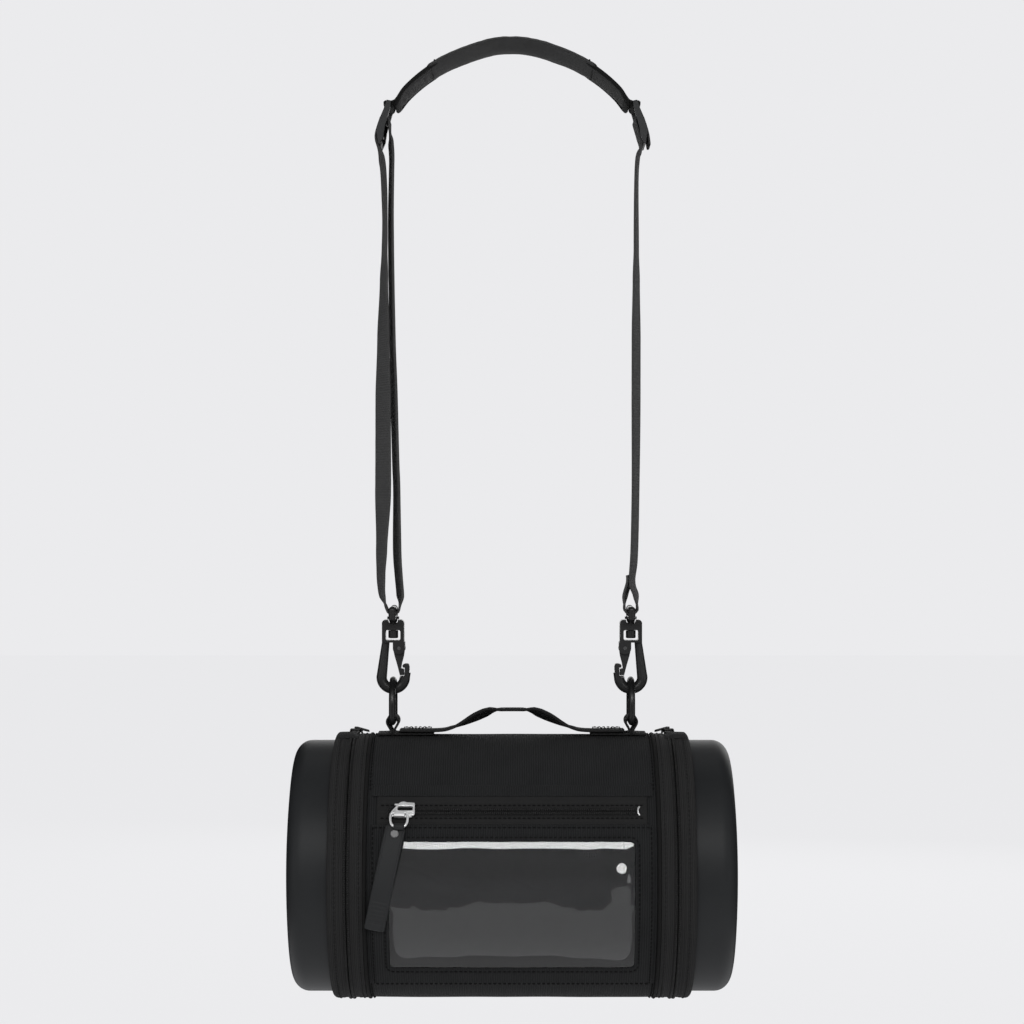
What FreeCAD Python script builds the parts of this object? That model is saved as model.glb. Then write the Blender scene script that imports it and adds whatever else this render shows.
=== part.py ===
"""Barrel-shaped storage bag with two zipped end caps, a windowed front pocket,
a grab handle and a padded shoulder strap on swivel snap hooks.

Millimetres, +Z up, +X to the wearer's right, the pocket faces -Y.
The origin is the middle of the underside of the shoulder pad, where the bag hangs.
"""
import FreeCAD
import Part
import math
import os

V = FreeCAD.Vector
X_AXIS = V(1, 0, 0)
Y_AXIS = V(0, 1, 0)
Z_AXIS = V(0, 0, 1)

# ---- driving dimensions -------------------------------------------------------------

# Barrel. Its axis runs along X. Radii count from that axis.
BAG_Z = -540.7             # height of the barrel's axis
R_SHELL = 86.8             # outside of the woven body
T_SHELL = 1.2              # woven fabric
T_FOAM = 3.2               # foam that stiffens the wall
T_LINING = 0.6             # lining
BODY_HALF = 92.2           # half length of the woven body
PIPING_W = 2.2             # piping cord sewn between body and end band
PIPING_RISE = 0.9
CHAIN_X = 105.0            # plane where the end zip parts
CHAIN_GAP = 0.15           # half the gap between the two halves of that zip
CHAIN_HALF = 2.0           # width of one half of the coil
TAPE_T = 0.7               # zip tape
COIL_T = 1.6               # height of the coil on its tape
TAPE_W = 5.0               # visible tape beside each half of the coil
R_TAPE = 86.6              # outside of the end zip's tape
BAND_END = 117.5           # outer edge of the end band
SHOULDER = 3.6             # radius that rounds that edge
R_CAP = 82.7               # outside of the moulded cap
CAP_WALL = 2.5
CAP_START = 107.0          # inner edge of the cap's skirt
CAP_EDGE = 143.8           # where the cap's side would meet its face
CAP_FILLET = 10.7
CAP_DOME = 4.4             # bulge of the cap's face
CAP_LINING = 0.7

# Zip layout around the barrel: degrees from the top, positive towards the front.
ZIP_START = -18.0
ZIP_END = 288.0
SLIDER_AT = -12.0          # where the closed end slider is parked
END_SLIDER_GAP = 1.0       # over the coil, so that a cap can swing past the slider
END_PIN_Z = 91.4           # the pull turns on a pin at this radius
END_PIN_R = 0.6
END_PULL_L = 10.0
END_PULL_DROOP = 2.0       # degrees
HINGE_AT = -45.0           # middle of the fabric hinge of each cap
HINGE_SPAN = 46.0
R_HINGE = 88.0             # the hinge strip's outside, on which the cap turns

# Front pocket, on the same angles.
WELT = (49.5, 52.6)
TAPE_SPAN = (51.4, 66.0)
COIL_AT = 59.4
COIL_W = 6.7
FRONT_SPAN = (65.0, 142.2)
WINDOW_SPAN = (72.3, 130.3)
WINDOW_HALF = 78.0
WINDOW_LAP = 5.0           # clear sheet sewn behind its frame
POCKET_HALF = 89.5
T_CLEAR = 0.4
T_FRONT = 1.0
ZIP_X = (-79.0, 79.2)

# Pocket slider and its pull.
SLIDER_X = -69.9
SLIDER_L = 15.2
SLIDER_W = 11.0
RING_X = -71.5
RING_W = 12.0
RING_DROP = 9.5            # from the staple's axis to the ring's lower wire
STAPLE_Y = -3.0            # the staple sits below the middle of the slider
RING_WIRE = 0.8
PULL_TOP = V(-73.2, 0, -504.0)
PULL_END = V(-85.8, 0, -569.9)
PULL_W = 13.0
PULL_T = 2.5
R_PULL = 89.9

# Suspension. Both sides hang on the same plane, left at -HANG_X, right at +HANG_X.
HANG_X = 79.2
WEB_W = 25.0               # strap and handle webbing
WEB_T = 1.6
LOOP_W = 20.0              # webbing of the two anchor loops
EYE_BAR_Z = -370.6
EYE_BAR_R = 2.0
EYE_SLACK = 1.5            # how much wider than the bar the webbing turns round it
EYE_SIDE_ROOM = 0.4        # between the webbing's edge and a post
EYE_BASE_HALF = 2.2
EYE_BASE_OVER = 1.4        # the base reaches past its posts
COLLAR = (4.0, 1.6)        # radius and height
EYE_POST_R = 2.4           # the two posts and the rounded corners over them
EYE_OPEN_Z = -375.0
EYE_BASE_Z = -377.0
STEM_R = 2.2
STEM_FIT = 0.07            # radial clearance of the swivel stem
BOSS_R = 2.9               # rounded root of the stem, in a saddle of the hook's frame
BOSS_Z = -377.3
SADDLE_R = 3.5
KNOB_R = 3.3
KNOB_Z = (-389.8, -384.7)
FRAME_Z = (-392.6, -377.4)
FRAME_HALF = 7.35
FRAME_DEPTH = 9.0
FRAME_CORNER = 2.4
WINDOW_Z = (-391.0, -384.3)
KNOB_WINDOW = 4.9          # half width of the window round the knob
THROUGH = 9.0              # cutters pass this far to both sides of the hook's middle
SPINE_TOP = (4.85, 2.5)    # the spine's upper end: outboard of the swivel axis, radius
NOSE_UP = V(0.5, 0, 3.4)
LIP_U = (7.7, 10.7)        # the flat lip of the nose
LIP_TOP = -406.6
LIP_HALF = 2.6
NOTCH_U = 7.6              # the room that the gate's end needs inside the nose
NOTCH_Z = (-414.9, -405.0)
SPRING_R = (1.5, 2.1)
SPRING_HALF = 0.8
SPRING_ROOM = (2.5, 1.2)   # radius and half width of the gate's hollow for it
PIN_U = 4.0                # gate pin, inboard of the swivel axis
PIN_Z = -396.3
PIN_R = 1.2
PIN_FIT = 0.06
EAR_R = 4.1
GATE_HALF = 2.4
GATE_TOP_R = 3.5           # rounding of the gate over its pin
# The gate below its pin and the bulb of the nose: sideways from the swivel axis, height.
GATE_TONGUE = [(0.3, -398.4), (1.0, -401.6), (2.7, -407.4), (4.5, -414.4), (7.3, -414.4),
               (7.3, -410.3), (5.3, -409.7), (5.9, -406.4), (7.2, -401.4), (7.6, -398.4)]
NOSE_BULB = [(6.2, -407.9), (7.0, -407.0), (8.6, -406.5), (10.2, -406.9), (10.9, -408.4),
             (10.9, -411.0), (10.2, -413.0), (8.2, -413.0), (7.8, -409.5), (6.4, -409.3)]
CROOK_Z = -415.8           # centre of the crook's bend
CROOK_R = 7.7              # its centre line
CROOK_BAR = 3.5            # radius of the bar
DRING_WIRE = 2.2
DRING_TOP = -417.5         # centre line of the ring's curved top
DRING_HALF = 15.2          # half width between centre lines
DRING_BAR = -444.8         # centre line of its straight bar

# Handle: centre line of the webbing over half its length, from the middle outwards.
HANDLE_T = 2.0
HANDLE_LINE = [(0, -437.3), (12, -437.6), (17, -439.1), (25, -442.7), (33, -446.7),
               (40, -449.4), (49, -451.1), (74.4, -451.1)]

# Shoulder pad: an arch about a centre PAD_R below the origin.
PAD_R = 94.0
PAD_COVER = (95.0, 100.4)
PAD_CORE = (96.0, 99.4)
PAD_WEB = 101.35           # centre line of the webbing along the pad's back
PAD_SLEEVE = (94.0, 104.6)
PAD_SLEEVE_HOLE = (95.0, 102.4)
COVER_ANGLE = 50.0
CORE_ANGLE = 47.0
SLEEVE_ANGLE = 34.0
COVER_W = 50.0
CORE_W = 46.0
SLEEVE_W = 56.0

# Ladder-lock buckles: top of the left one, and its direction downwards.
BUCKLE_TOP = (-81.3, -33.7)
BUCKLE_DOWN = (-0.2054, -0.9787)
BUCKLE_SLOT = 26.2
BUCKLE_RAIL = 3.2
BUCKLE_BAR = 1.5


# ---- helpers --------------------------------------------------------------------------

def save(name, shape):
    """Write one sub-part."""
    shape.exportStep(os.path.join("parts", name + ".step"))


def mirrored(shape):
    """The same piece on the other side of the bag."""
    return shape.mirror(V(0, 0, 0), X_AXIS)


def both_sides(name, shape):
    """Write a left piece and its mirror image on the right."""
    save("left_" + name, shape)
    save("right_" + name, mirrored(shape))


def face_xz(points):
    """A flat face from (x, z) points at y = 0."""
    loop = [V(x, 0, z) for x, z in points]
    return Part.Face(Part.makePolygon(loop + loop[:1]))


def slab(points, width, middle=0.0):
    """An (x, z) outline given a width along Y."""
    shape = face_xz(points).extrude(V(0, width, 0))
    shape.translate(V(0, middle - width / 2, 0))
    return shape


def box(x, y, z):
    """A block from pairs of limits."""
    return Part.makeBox(x[1] - x[0], y[1] - y[0], z[1] - z[0], V(x[0], y[0], z[0]))


def rod(start, end, radius):
    """A round bar between two points."""
    return Part.makeCylinder(radius, (end - start).Length, start, end - start)


def around_barrel(shape, angle):
    """Carry a piece made at the top of the barrel's axis frame to an angle."""
    out = shape.copy()
    out.rotate(V(0, 0, 0), X_AXIS, angle)
    out.translate(V(0, 0, BAG_Z))
    return out


def turned(profile, start=0.0, span=360.0):
    """Revolve an (x, radius) face about the barrel's axis over a span of angles."""
    shape = profile.revolve(V(0, 0, 0), X_AXIS, span)
    return around_barrel(shape, start)


def barrel_plate(x, radius, angles):
    """A curved plate: limits along X, radii, and angles round the barrel."""
    outline = [(x[0], radius[0]), (x[1], radius[0]), (x[1], radius[1]), (x[0], radius[1])]
    return turned(face_xz(outline), angles[0], angles[1] - angles[0])


def arc(centre, radius, first, last, steps=10):
    """Points on a circle in the XZ plane, angles in degrees from +X towards +Z."""
    out = []
    for i in range(steps + 1):
        a = math.radians(first + (last - first) * i / steps)
        out.append((centre[0] + radius * math.cos(a), centre[1] + radius * math.sin(a)))
    return out


def offset_line(points, distance, closed=False):
    """The line moved sideways by a distance, with mitred corners."""
    n = len(points)
    out = []
    for i, (x, z) in enumerate(points):
        before = points[i - 1] if i or closed else None
        after = points[(i + 1) % n] if i < n - 1 or closed else None
        normals = []
        for a, b in ((before, (x, z)), ((x, z), after)):
            if a is None or b is None:
                continue
            length = math.hypot(b[0] - a[0], b[1] - a[1])
            normals.append(((a[1] - b[1]) / length, (b[0] - a[0]) / length))
        mx = sum(v[0] for v in normals) / len(normals)
        mz = sum(v[1] for v in normals) / len(normals)
        scale = distance / (mx * mx + mz * mz)
        out.append((x + mx * scale, z + mz * scale))
    return out


def ribbon(points, thickness, width):
    """Webbing along a centre line in the XZ plane, its width along Y."""
    side = offset_line(points, thickness / 2)
    other = offset_line(points, -thickness / 2)
    return slab(side + other[::-1], width)


def ribbon_loop(points, thickness, width):
    """Webbing along a closed centre line."""
    one = slab(offset_line(points, thickness / 2, True), width)
    two = slab(offset_line(points, -thickness / 2, True), width)
    outer, inner = (one, two) if one.Volume > two.Volume else (two, one)
    return outer.cut(inner)


def rounded(shape, radius, keep):
    """Fillet the edges for which keep(edge) is true."""
    return shape.makeFillet(radius, [e for e in shape.Edges if keep(e)])


def pad_sector(radii, angle, width):
    """A stretch of the pad's arch, even about the middle."""
    inner, outer = radii
    shell = Part.makeCylinder(outer, width, V(0, -width / 2, -PAD_R), Y_AXIS)
    shell = shell.cut(Part.makeCylinder(inner, width, V(0, -width / 2, -PAD_R), Y_AXIS))
    reach = 2 * outer
    wedge = [(0, -PAD_R)]
    wedge += arc((0, -PAD_R), reach, 90 - angle, 90 + angle, 8)
    return shell.common(slab(wedge, width + 2))


# ---- barrel -----------------------------------------------------------------------------

def make_barrel():
    """Woven body, its foam and lining, and the piping at each end."""
    r_foam = R_SHELL - T_SHELL
    r_lining = r_foam - T_FOAM
    full = (0, 360)
    span = (-BODY_HALF, BODY_HALF)
    tube_end = CHAIN_X - CHAIN_GAP - 0.25
    save("body_shell", barrel_plate(span, (r_foam, R_SHELL), full))
    save("body_foam", barrel_plate((-tube_end, tube_end), (r_lining, r_foam), full))
    save("body_lining",
         barrel_plate((-tube_end, tube_end), (r_lining - T_LINING, r_lining), full))
    x0, x1 = BODY_HALF, BODY_HALF + PIPING_W
    mid = (x0 + x1) / 2
    crown = arc((mid, R_SHELL), 1.0, 0, 180, 8)
    crown = [(mid + (x - mid) * PIPING_W / 2, R_SHELL + (r - R_SHELL) * PIPING_RISE)
             for x, r in crown]
    bead = turned(face_xz([(x0, r_foam), (x1, r_foam)] + crown))
    save("right_piping", bead)
    save("left_piping", mirrored(bead))


def make_end_bands():
    """The band and zip of each end: body side, cap side, and the fabric hinge."""
    tape_in = R_TAPE - TAPE_T
    r_foam = R_SHELL - T_SHELL
    start = BODY_HALF + PIPING_W
    x_in = CHAIN_X - CHAIN_GAP
    x_out = CHAIN_X + CHAIN_GAP
    inner = turned(face_xz([
        (start, r_foam), (x_in, r_foam), (x_in, R_TAPE), (x_in - TAPE_W, R_TAPE),
        (x_in - TAPE_W, R_SHELL + 0.3), (start, R_SHELL + 0.3)]))
    save("right_band_inner", inner)
    save("left_band_inner", mirrored(inner))
    skirt = R_CAP + 0.05
    corner = (BAND_END - SHOULDER, R_SHELL + 0.5 - SHOULDER)
    outline = [(x_out, tape_in), (x_out, R_TAPE), (x_out + TAPE_W, R_TAPE),
               (x_out + TAPE_W, R_SHELL + 0.5)]
    outline += arc(corner, SHOULDER, 90, 0, 8)
    outline += [(BAND_END, skirt), (CAP_START, skirt), (CAP_START, tape_in)]
    outer = turned(face_xz(outline))
    save("right_band_outer", outer)
    save("left_band_outer", mirrored(outer))
    zip_span = (ZIP_START, ZIP_END)
    coil = (R_TAPE, R_TAPE + COIL_T)
    near = barrel_plate((x_in - CHAIN_HALF, x_in), coil, zip_span)
    far = barrel_plate((x_out, x_out + CHAIN_HALF), coil, zip_span)
    save("right_coil_inner", near)
    save("left_coil_inner", mirrored(near))
    save("right_coil_outer", far)
    save("left_coil_outer", mirrored(far))
    hinge = (HINGE_AT - HINGE_SPAN / 2, HINGE_AT + HINGE_SPAN / 2)
    thick = (R_SHELL + 0.4, R_HINGE)
    tab_in = barrel_plate((x_in - 7, x_in - 0.05), thick, hinge)
    tab_out = barrel_plate((x_out + 0.05, x_out + 7), thick, hinge)
    tab_out = tab_out.cut(outer)
    save("right_hinge_strip", tab_in)
    save("left_hinge_strip", mirrored(tab_in))
    save("right_hinge_flap", tab_out)
    save("left_hinge_flap", mirrored(tab_out))


def cap_profile(r_side, x_face, dome, fillet, x_start):
    """Half outline of a domed cap, from its open edge to its middle."""
    points = [(x_start, r_side)]
    points += arc((x_face - fillet, r_side - fillet), fillet, 90, 12, 9)
    edge_x, edge_r = points[-1]
    for i in range(1, 9):
        r = edge_r * (1 - i / 8)
        points.append((edge_x + dome * (1 - (r / edge_r) ** 2), r))
    return points


def make_caps():
    """The moulded cap and its lining at each end."""
    outside = cap_profile(R_CAP, CAP_EDGE, CAP_DOME, CAP_FILLET, CAP_START)
    inside = cap_profile(R_CAP - CAP_WALL, CAP_EDGE - CAP_WALL, CAP_DOME,
                         CAP_FILLET - CAP_WALL, CAP_START)
    deep = CAP_WALL + CAP_LINING
    lining = cap_profile(R_CAP - deep, CAP_EDGE - deep, CAP_DOME,
                         CAP_FILLET - deep, CAP_START)
    shell = turned(face_xz(outside + inside[::-1]))
    liner = turned(face_xz(inside + lining[::-1]))
    save("right_cap", shell)
    save("left_cap", mirrored(shell))
    save("right_cap_lining", liner)
    save("left_cap_lining", mirrored(liner))


def make_end_slider():
    """The slider of one end zip and its pull, made at the top of the barrel."""
    top_of_coil = R_TAPE + COIL_T
    plate_r = (top_of_coil + END_SLIDER_GAP, top_of_coil + END_SLIDER_GAP + 1.2)
    half_w, half_l = 4.6, 6.0
    plate = box((CHAIN_X - half_w, CHAIN_X + half_w), (-half_l, half_l), plate_r)
    plate = rounded(plate, 1.6, lambda e: abs(e.tangentAt(e.FirstParameter).z) > 0.9)
    flange = box((CHAIN_X - half_w, CHAIN_X - half_w + 0.8), (-half_l + 1.6, half_l - 1.6),
                 (R_TAPE + 0.9, plate_r[1]))
    staple = box((CHAIN_X - 2.6, CHAIN_X + 2.6), (-1.4, 1.4), (plate_r[1] - 0.2, 93.2))
    hole = box((CHAIN_X - 1.5, CHAIN_X + 1.5), (-2, 2), (plate_r[1] + 0.2, END_PIN_Z + 1.0))
    slider = plate.fuse(flange).fuse(staple).cut(hole).removeSplitter()
    both_sides("end_slider", mirrored(around_barrel(slider, SLIDER_AT)))
    tab = box((CHAIN_X - END_PULL_L, CHAIN_X), (-3.2, 3.2),
              (END_PIN_Z - END_PIN_R, END_PIN_Z + END_PIN_R))
    tab = tab.cut(box((CHAIN_X - 3.2, CHAIN_X), (-1.9, 1.9), (90, 93)))
    pin = rod(V(CHAIN_X, -3.2, END_PIN_Z), V(CHAIN_X, 3.2, END_PIN_Z), END_PIN_R)
    pull = tab.fuse(pin).removeSplitter()
    pull.rotate(V(CHAIN_X, 0, END_PIN_Z), Y_AXIS, -END_PULL_DROOP)
    both_sides("end_pull", mirrored(around_barrel(pull, SLIDER_AT)))


# ---- front pocket -------------------------------------------------------------------------

def make_pocket():
    """Pocket front with its clear window, zip, and the fold above the zip."""
    side = (-POCKET_HALF, POCKET_HALF)
    r0 = R_SHELL + 0.1
    r_clear = r0 + T_CLEAR
    window = (-WINDOW_HALF, WINDOW_HALF)
    lap = math.degrees(WINDOW_LAP / R_SHELL)
    clear = barrel_plate((window[0] - WINDOW_LAP, window[1] + WINDOW_LAP), (r0, r_clear),
                         (WINDOW_SPAN[0] - lap, WINDOW_SPAN[1] + lap))
    save("pocket_window", clear)
    front = barrel_plate(side, (r0 + 0.7, r0 + 0.7 + T_FRONT), FRONT_SPAN)
    hem = barrel_plate(side, (r0, r0 + 0.7), (FRONT_SPAN[1] - 4, FRONT_SPAN[1]))
    for x in (side[0], side[1] - 4):
        hem = hem.fuse(barrel_plate((x, x + 4), (r0, r0 + 0.7), FRONT_SPAN))
    front = front.cut(barrel_plate(window, (r0, R_SHELL + 4), WINDOW_SPAN))
    save("pocket_front", front.fuse(hem).removeSplitter())
    tape = (r0, r0 + 0.6)
    save("pocket_tape", barrel_plate((-84, 84), tape, TAPE_SPAN))
    save("pocket_welt", barrel_plate(side, (tape[1], tape[1] + T_FRONT), WELT))
    half = math.degrees(COIL_W / 2 / R_SHELL)
    coil = (tape[1], tape[1] + 1.7)
    save("pocket_coil", barrel_plate(ZIP_X, coil, (COIL_AT - half, COIL_AT + half)))
    save("pocket_stop", barrel_plate((ZIP_X[1] + 0.3, ZIP_X[1] + 2.3),
                                     (tape[1], tape[1] + 2.4), (COIL_AT - half, COIL_AT + half)))
    return coil[1]


def make_pocket_slider(coil_top):
    """Slider, wire ring, rubber pull and rivet of the pocket zip."""
    plate_r = (coil_top + 0.3, coil_top + 1.8)
    x0, x1 = SLIDER_X - SLIDER_L / 2, SLIDER_X + SLIDER_L / 2
    half = SLIDER_W / 2
    outline = Part.makePolygon([V(x, y, plate_r[0]) for x, y in (
        (x0, -half), (x0 + 9, -half), (x1, -half + 1.4), (x1, half - 1.4),
        (x0 + 9, half), (x0, half), (x0, -half))])
    plate = Part.Face(outline).extrude(V(0, 0, plate_r[1] - plate_r[0]))
    plate = rounded(plate, 1.2, lambda e: abs(e.tangentAt(e.FirstParameter).z) > 0.9)
    body = plate
    for y in (-half, half - 1.1):
        body = body.fuse(box((x0 + 1.4, x0 + 8.8), (y, y + 1.1), (coil_top - 1.2, plate_r[1])))
    eye_z = plate_r[1] + 1.5
    staple = box((RING_X - 1.4, RING_X + 1.4), (STAPLE_Y - 2.4, STAPLE_Y + 2.4),
                 (plate_r[1] - 0.2, eye_z + 2.2))
    hole = box((RING_X - 2, RING_X + 2), (STAPLE_Y - 1.4, STAPLE_Y + 1.4),
               (plate_r[1] + 0.2, eye_z + 1.2))
    body = body.fuse(staple).cut(hole).removeSplitter()
    save("pocket_slider", around_barrel(body, COIL_AT))
    # wire ring: flat against the bag, its top wire through the staple
    x_in = RING_W / 2 - RING_WIRE
    ring = None
    low = STAPLE_Y - RING_DROP
    corners = [(-x_in, STAPLE_Y), (x_in, STAPLE_Y), (x_in, low), (-x_in, low)]
    for i, (ax, ay) in enumerate(corners):
        bx, by = corners[(i + 1) % 4]
        wire = rod(V(RING_X + ax, ay, eye_z), V(RING_X + bx, by, eye_z), RING_WIRE)
        knee = Part.makeSphere(RING_WIRE, V(RING_X + ax, ay, eye_z))
        ring = wire.fuse(knee) if ring is None else ring.fuse(wire).fuse(knee)
    save("pocket_ring", around_barrel(ring.removeSplitter(), COIL_AT))
    # rubber pull: a curved plate hung on the ring's lower wire by a rolled end
    bar = around_barrel(Part.Vertex(RING_X, low, eye_z), COIL_AT).Point
    along = (PULL_END - PULL_TOP).normalize()
    across = V(-along.z, 0, along.x)
    corners = [PULL_TOP + across * (PULL_W / 2), PULL_TOP - across * (PULL_W / 2),
               PULL_END - across * (PULL_W / 2), PULL_END + across * (PULL_W / 2)]
    prism = Part.Face(Part.makePolygon(corners + corners[:1])).extrude(V(0, -120, 0))
    prism = rounded(prism, 2.2, lambda e: abs(e.tangentAt(e.FirstParameter).y) > 0.9)
    shell = barrel_plate((-100, -60), (R_PULL, R_PULL + PULL_T), (40, 140))
    plate = shell.common(prism)
    half_roll = x_in - RING_WIRE - 0.5
    roll_r = RING_WIRE + 0.35 + 1.0
    roll = rod(bar - V(half_roll, 0, 0), bar + V(half_roll, 0, 0), roll_r)
    bore = rod(bar - V(9, 0, 0), bar + V(9, 0, 0), RING_WIRE + 0.35)
    keep_off = box((bar.x - 12, bar.x + 12), (-120, 0), (bar.z + 0.4, bar.z + 12))
    for x in (bar.x - half_roll - 12, bar.x + half_roll):
        keep_off = keep_off.fuse(box((x, x + 12), (-120, 0), (bar.z - 1.6, bar.z + 12)))
    plate = plate.cut(keep_off).fuse(roll).cut(bore)
    rivet_at = PULL_TOP + along * 4.8
    a = math.degrees(math.acos((rivet_at.z - BAG_Z) / (R_PULL + PULL_T)))
    head = Part.makeCylinder(2.6, PULL_T + 1.0, V(rivet_at.x, 0, R_PULL - 0.3), Z_AXIS)
    head = rounded(head, 0.5, lambda e: e.BoundBox.ZMin > R_PULL + PULL_T)
    head = around_barrel(head, a)
    plate = plate.cut(head)
    save("pocket_pull", plate.removeSplitter())
    save("pull_rivet", head)


# ---- handle and anchors ----------------------------------------------------------------------

def make_handle():
    """The grab handle on top, and a webbing anchor loop at each of its ends."""
    right = HANDLE_LINE
    left = [(-x, z) for x, z in right[:0:-1]]
    save("handle", ribbon(left + right, HANDLE_T, WEB_W))
    flat = BAG_Z + R_SHELL + 0.1 + WEB_T / 2
    hang = -HANG_X
    bend = (hang, DRING_BAR - 0.1)
    line = [(-52.0, flat), (hang + 3.4, flat), (hang + 1.15, -450.9)]
    line += arc(bend, 3.7, -25, 205, 14)
    line += [(hang - 1.15, -450.9), (hang - 3.4, flat), (-89.0, flat)]
    both_sides("anchor_loop", ribbon(line, WEB_T, LOOP_W))


def make_d_ring():
    """The wire D-ring that joins an anchor loop to a hook, in the YZ plane."""
    corner = 3.2
    spring = DRING_TOP - DRING_HALF
    x = -HANG_X
    edges = [
        Part.Arc(V(x, -DRING_HALF, spring), V(x, 0, DRING_TOP),
                 V(x, DRING_HALF, spring)).toShape(),
        Part.makeLine(V(x, DRING_HALF, spring), V(x, DRING_HALF, DRING_BAR + corner)),
    ]
    q = corner * math.sqrt(0.5)
    for s in (1, -1):
        centre = V(x, s * (DRING_HALF - corner), DRING_BAR + corner)
        bend = Part.Arc(centre + V(0, s * corner, 0), centre + V(0, s * q, -q),
                        centre + V(0, 0, -corner)).toShape()
        edges.append(bend)
    edges.insert(3, Part.makeLine(V(x, DRING_HALF - corner, DRING_BAR),
                                  V(x, -DRING_HALF + corner, DRING_BAR)))
    edges.append(Part.makeLine(V(x, -DRING_HALF, DRING_BAR + corner),
                               V(x, -DRING_HALF, spring)))
    path = Part.Wire(Part.__sortEdges__(edges))
    wire = Part.Wire(Part.makeCircle(DRING_WIRE, V(x, -DRING_HALF, spring), Z_AXIS))
    pipe = path.makePipeShell([wire], True, False)
    both_sides("d_ring", pipe)


# ---- snap hooks -------------------------------------------------------------------------------

def make_hook():
    """Swivel eye, hook body, gate, pin and spring, for the left side."""
    hang = -HANG_X
    # eye: a round bar and two posts over the base make a slot for the webbing
    post = WEB_W / 2 + EYE_SIDE_ROOM + EYE_POST_R
    base_end = post + EYE_BASE_OVER
    base = box((hang - EYE_BASE_HALF, hang + EYE_BASE_HALF), (-base_end, base_end),
               (EYE_BASE_Z, EYE_OPEN_Z))
    eye = rounded(base, 0.6, lambda e: abs(e.tangentAt(e.FirstParameter).y) > 0.9)
    for y in (-post, post):
        eye = eye.fuse(rod(V(hang, y, EYE_BASE_Z + 0.2), V(hang, y, EYE_BAR_Z), EYE_POST_R))
        eye = eye.fuse(Part.makeSphere(EYE_POST_R, V(hang, y, EYE_BAR_Z)))
    eye = eye.fuse(rod(V(hang, -post, EYE_BAR_Z), V(hang, post, EYE_BAR_Z), EYE_BAR_R))
    collar = Part.makeCylinder(COLLAR[0], COLLAR[1], V(hang, 0, EYE_BASE_Z), Z_AXIS)
    stem = Part.makeCylinder(STEM_R, EYE_BASE_Z - KNOB_Z[1] + 1.5,
                             V(hang, 0, KNOB_Z[1] - 0.5), Z_AXIS)
    knob = Part.makeCylinder(KNOB_R, KNOB_Z[1] - KNOB_Z[0], V(hang, 0, KNOB_Z[0]), Z_AXIS)
    knob = rounded(knob, 0.8, lambda e: e.BoundBox.ZMax < KNOB_Z[0] + 0.1)
    boss = Part.makeSphere(BOSS_R, V(hang, 0, BOSS_Z))
    both_sides("swivel_eye", eye.fuse(collar).fuse(stem).fuse(knob).fuse(boss).removeSplitter())
    # body: a frame for the swivel, a spine, the crook and the nose
    frame = box((hang - FRAME_HALF, hang + FRAME_HALF),
                (-FRAME_DEPTH / 2, FRAME_DEPTH / 2), FRAME_Z)
    frame = rounded(frame, FRAME_CORNER, lambda e: abs(e.tangentAt(e.FirstParameter).y) > 0.9
                    and e.BoundBox.ZMin > FRAME_Z[1] - 1)
    window = box((hang - KNOB_WINDOW, hang + KNOB_WINDOW), (-THROUGH, THROUGH), WINDOW_Z)
    window = rounded(window, 1.2, lambda e: abs(e.tangentAt(e.FirstParameter).y) > 0.9)
    bore = Part.makeCylinder(STEM_R + STEM_FIT, 12, V(hang, 0, WINDOW_Z[1] - 1), Z_AXIS)
    start = V(hang - SPINE_TOP[0], 0, FRAME_Z[0] + 1.2)
    end = V(hang - CROOK_R, 0, CROOK_Z)
    spine = Part.makeCone(SPINE_TOP[1], CROOK_BAR, (end - start).Length, start, end - start)
    ring = Part.makeTorus(CROOK_R, CROOK_BAR, V(hang, 0, CROOK_Z), Y_AXIS)
    below = 2 * CROOK_R
    lower = box((hang - below, hang + below), (-THROUGH, THROUGH), (CROOK_Z - below, CROOK_Z))
    crook = ring.common(lower).fuse(Part.makeSphere(CROOK_BAR, end))
    tip = V(hang + CROOK_R, 0, CROOK_Z)
    nose = rod(tip, tip + NOSE_UP, CROOK_BAR)
    lip = box((hang + LIP_U[0], hang + LIP_U[1]), (-LIP_HALF, LIP_HALF), (CROOK_Z, LIP_TOP))
    lip = rounded(lip, 1.2, lambda e: e.BoundBox.ZMin > CROOK_Z + 1)
    saddle = rod(V(hang, -THROUGH, EYE_BASE_Z), V(hang, THROUGH, EYE_BASE_Z), SADDLE_R)
    body = frame.cut(window).cut(bore).cut(saddle).fuse(spine).fuse(crook).fuse(nose).fuse(lip)
    pin_at = V(hang + PIN_U, 0, PIN_Z)
    ear_out = FRAME_DEPTH / 2
    for s in (-1, 1):
        y0, y1 = sorted((s * (GATE_HALF + 0.3), s * ear_out))
        ear = Part.makeCylinder(EAR_R, y1 - y0, V(pin_at.x, y0, PIN_Z), Y_AXIS)
        ear = ear.fuse(box((pin_at.x - EAR_R, pin_at.x + EAR_R - 0.25), (y0, y1),
                           (PIN_Z, FRAME_Z[0] + 0.3)))
        body = body.fuse(ear)
    notch = box((hang, hang + NOTCH_U), (-THROUGH, THROUGH), NOTCH_Z)
    pin_hole = rod(pin_at - THROUGH * Y_AXIS, pin_at + THROUGH * Y_AXIS, PIN_R)
    body = body.cut(notch).cut(pin_hole).removeSplitter()
    # the nose ends in a bulb that reaches over the gate's shoulder
    bulb = slab([(hang + u, z) for u, z in NOSE_BULB], 2 * LIP_HALF)
    bulb = rounded(bulb, 0.5, lambda e: abs(e.tangentAt(e.FirstParameter).y) < 0.1)
    body = body.fuse(bulb).removeSplitter()
    both_sides("hook_body", body)
    both_sides("gate_pin", rod(pin_at - V(0, ear_out, 0), pin_at + V(0, ear_out, 0), PIN_R))
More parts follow.
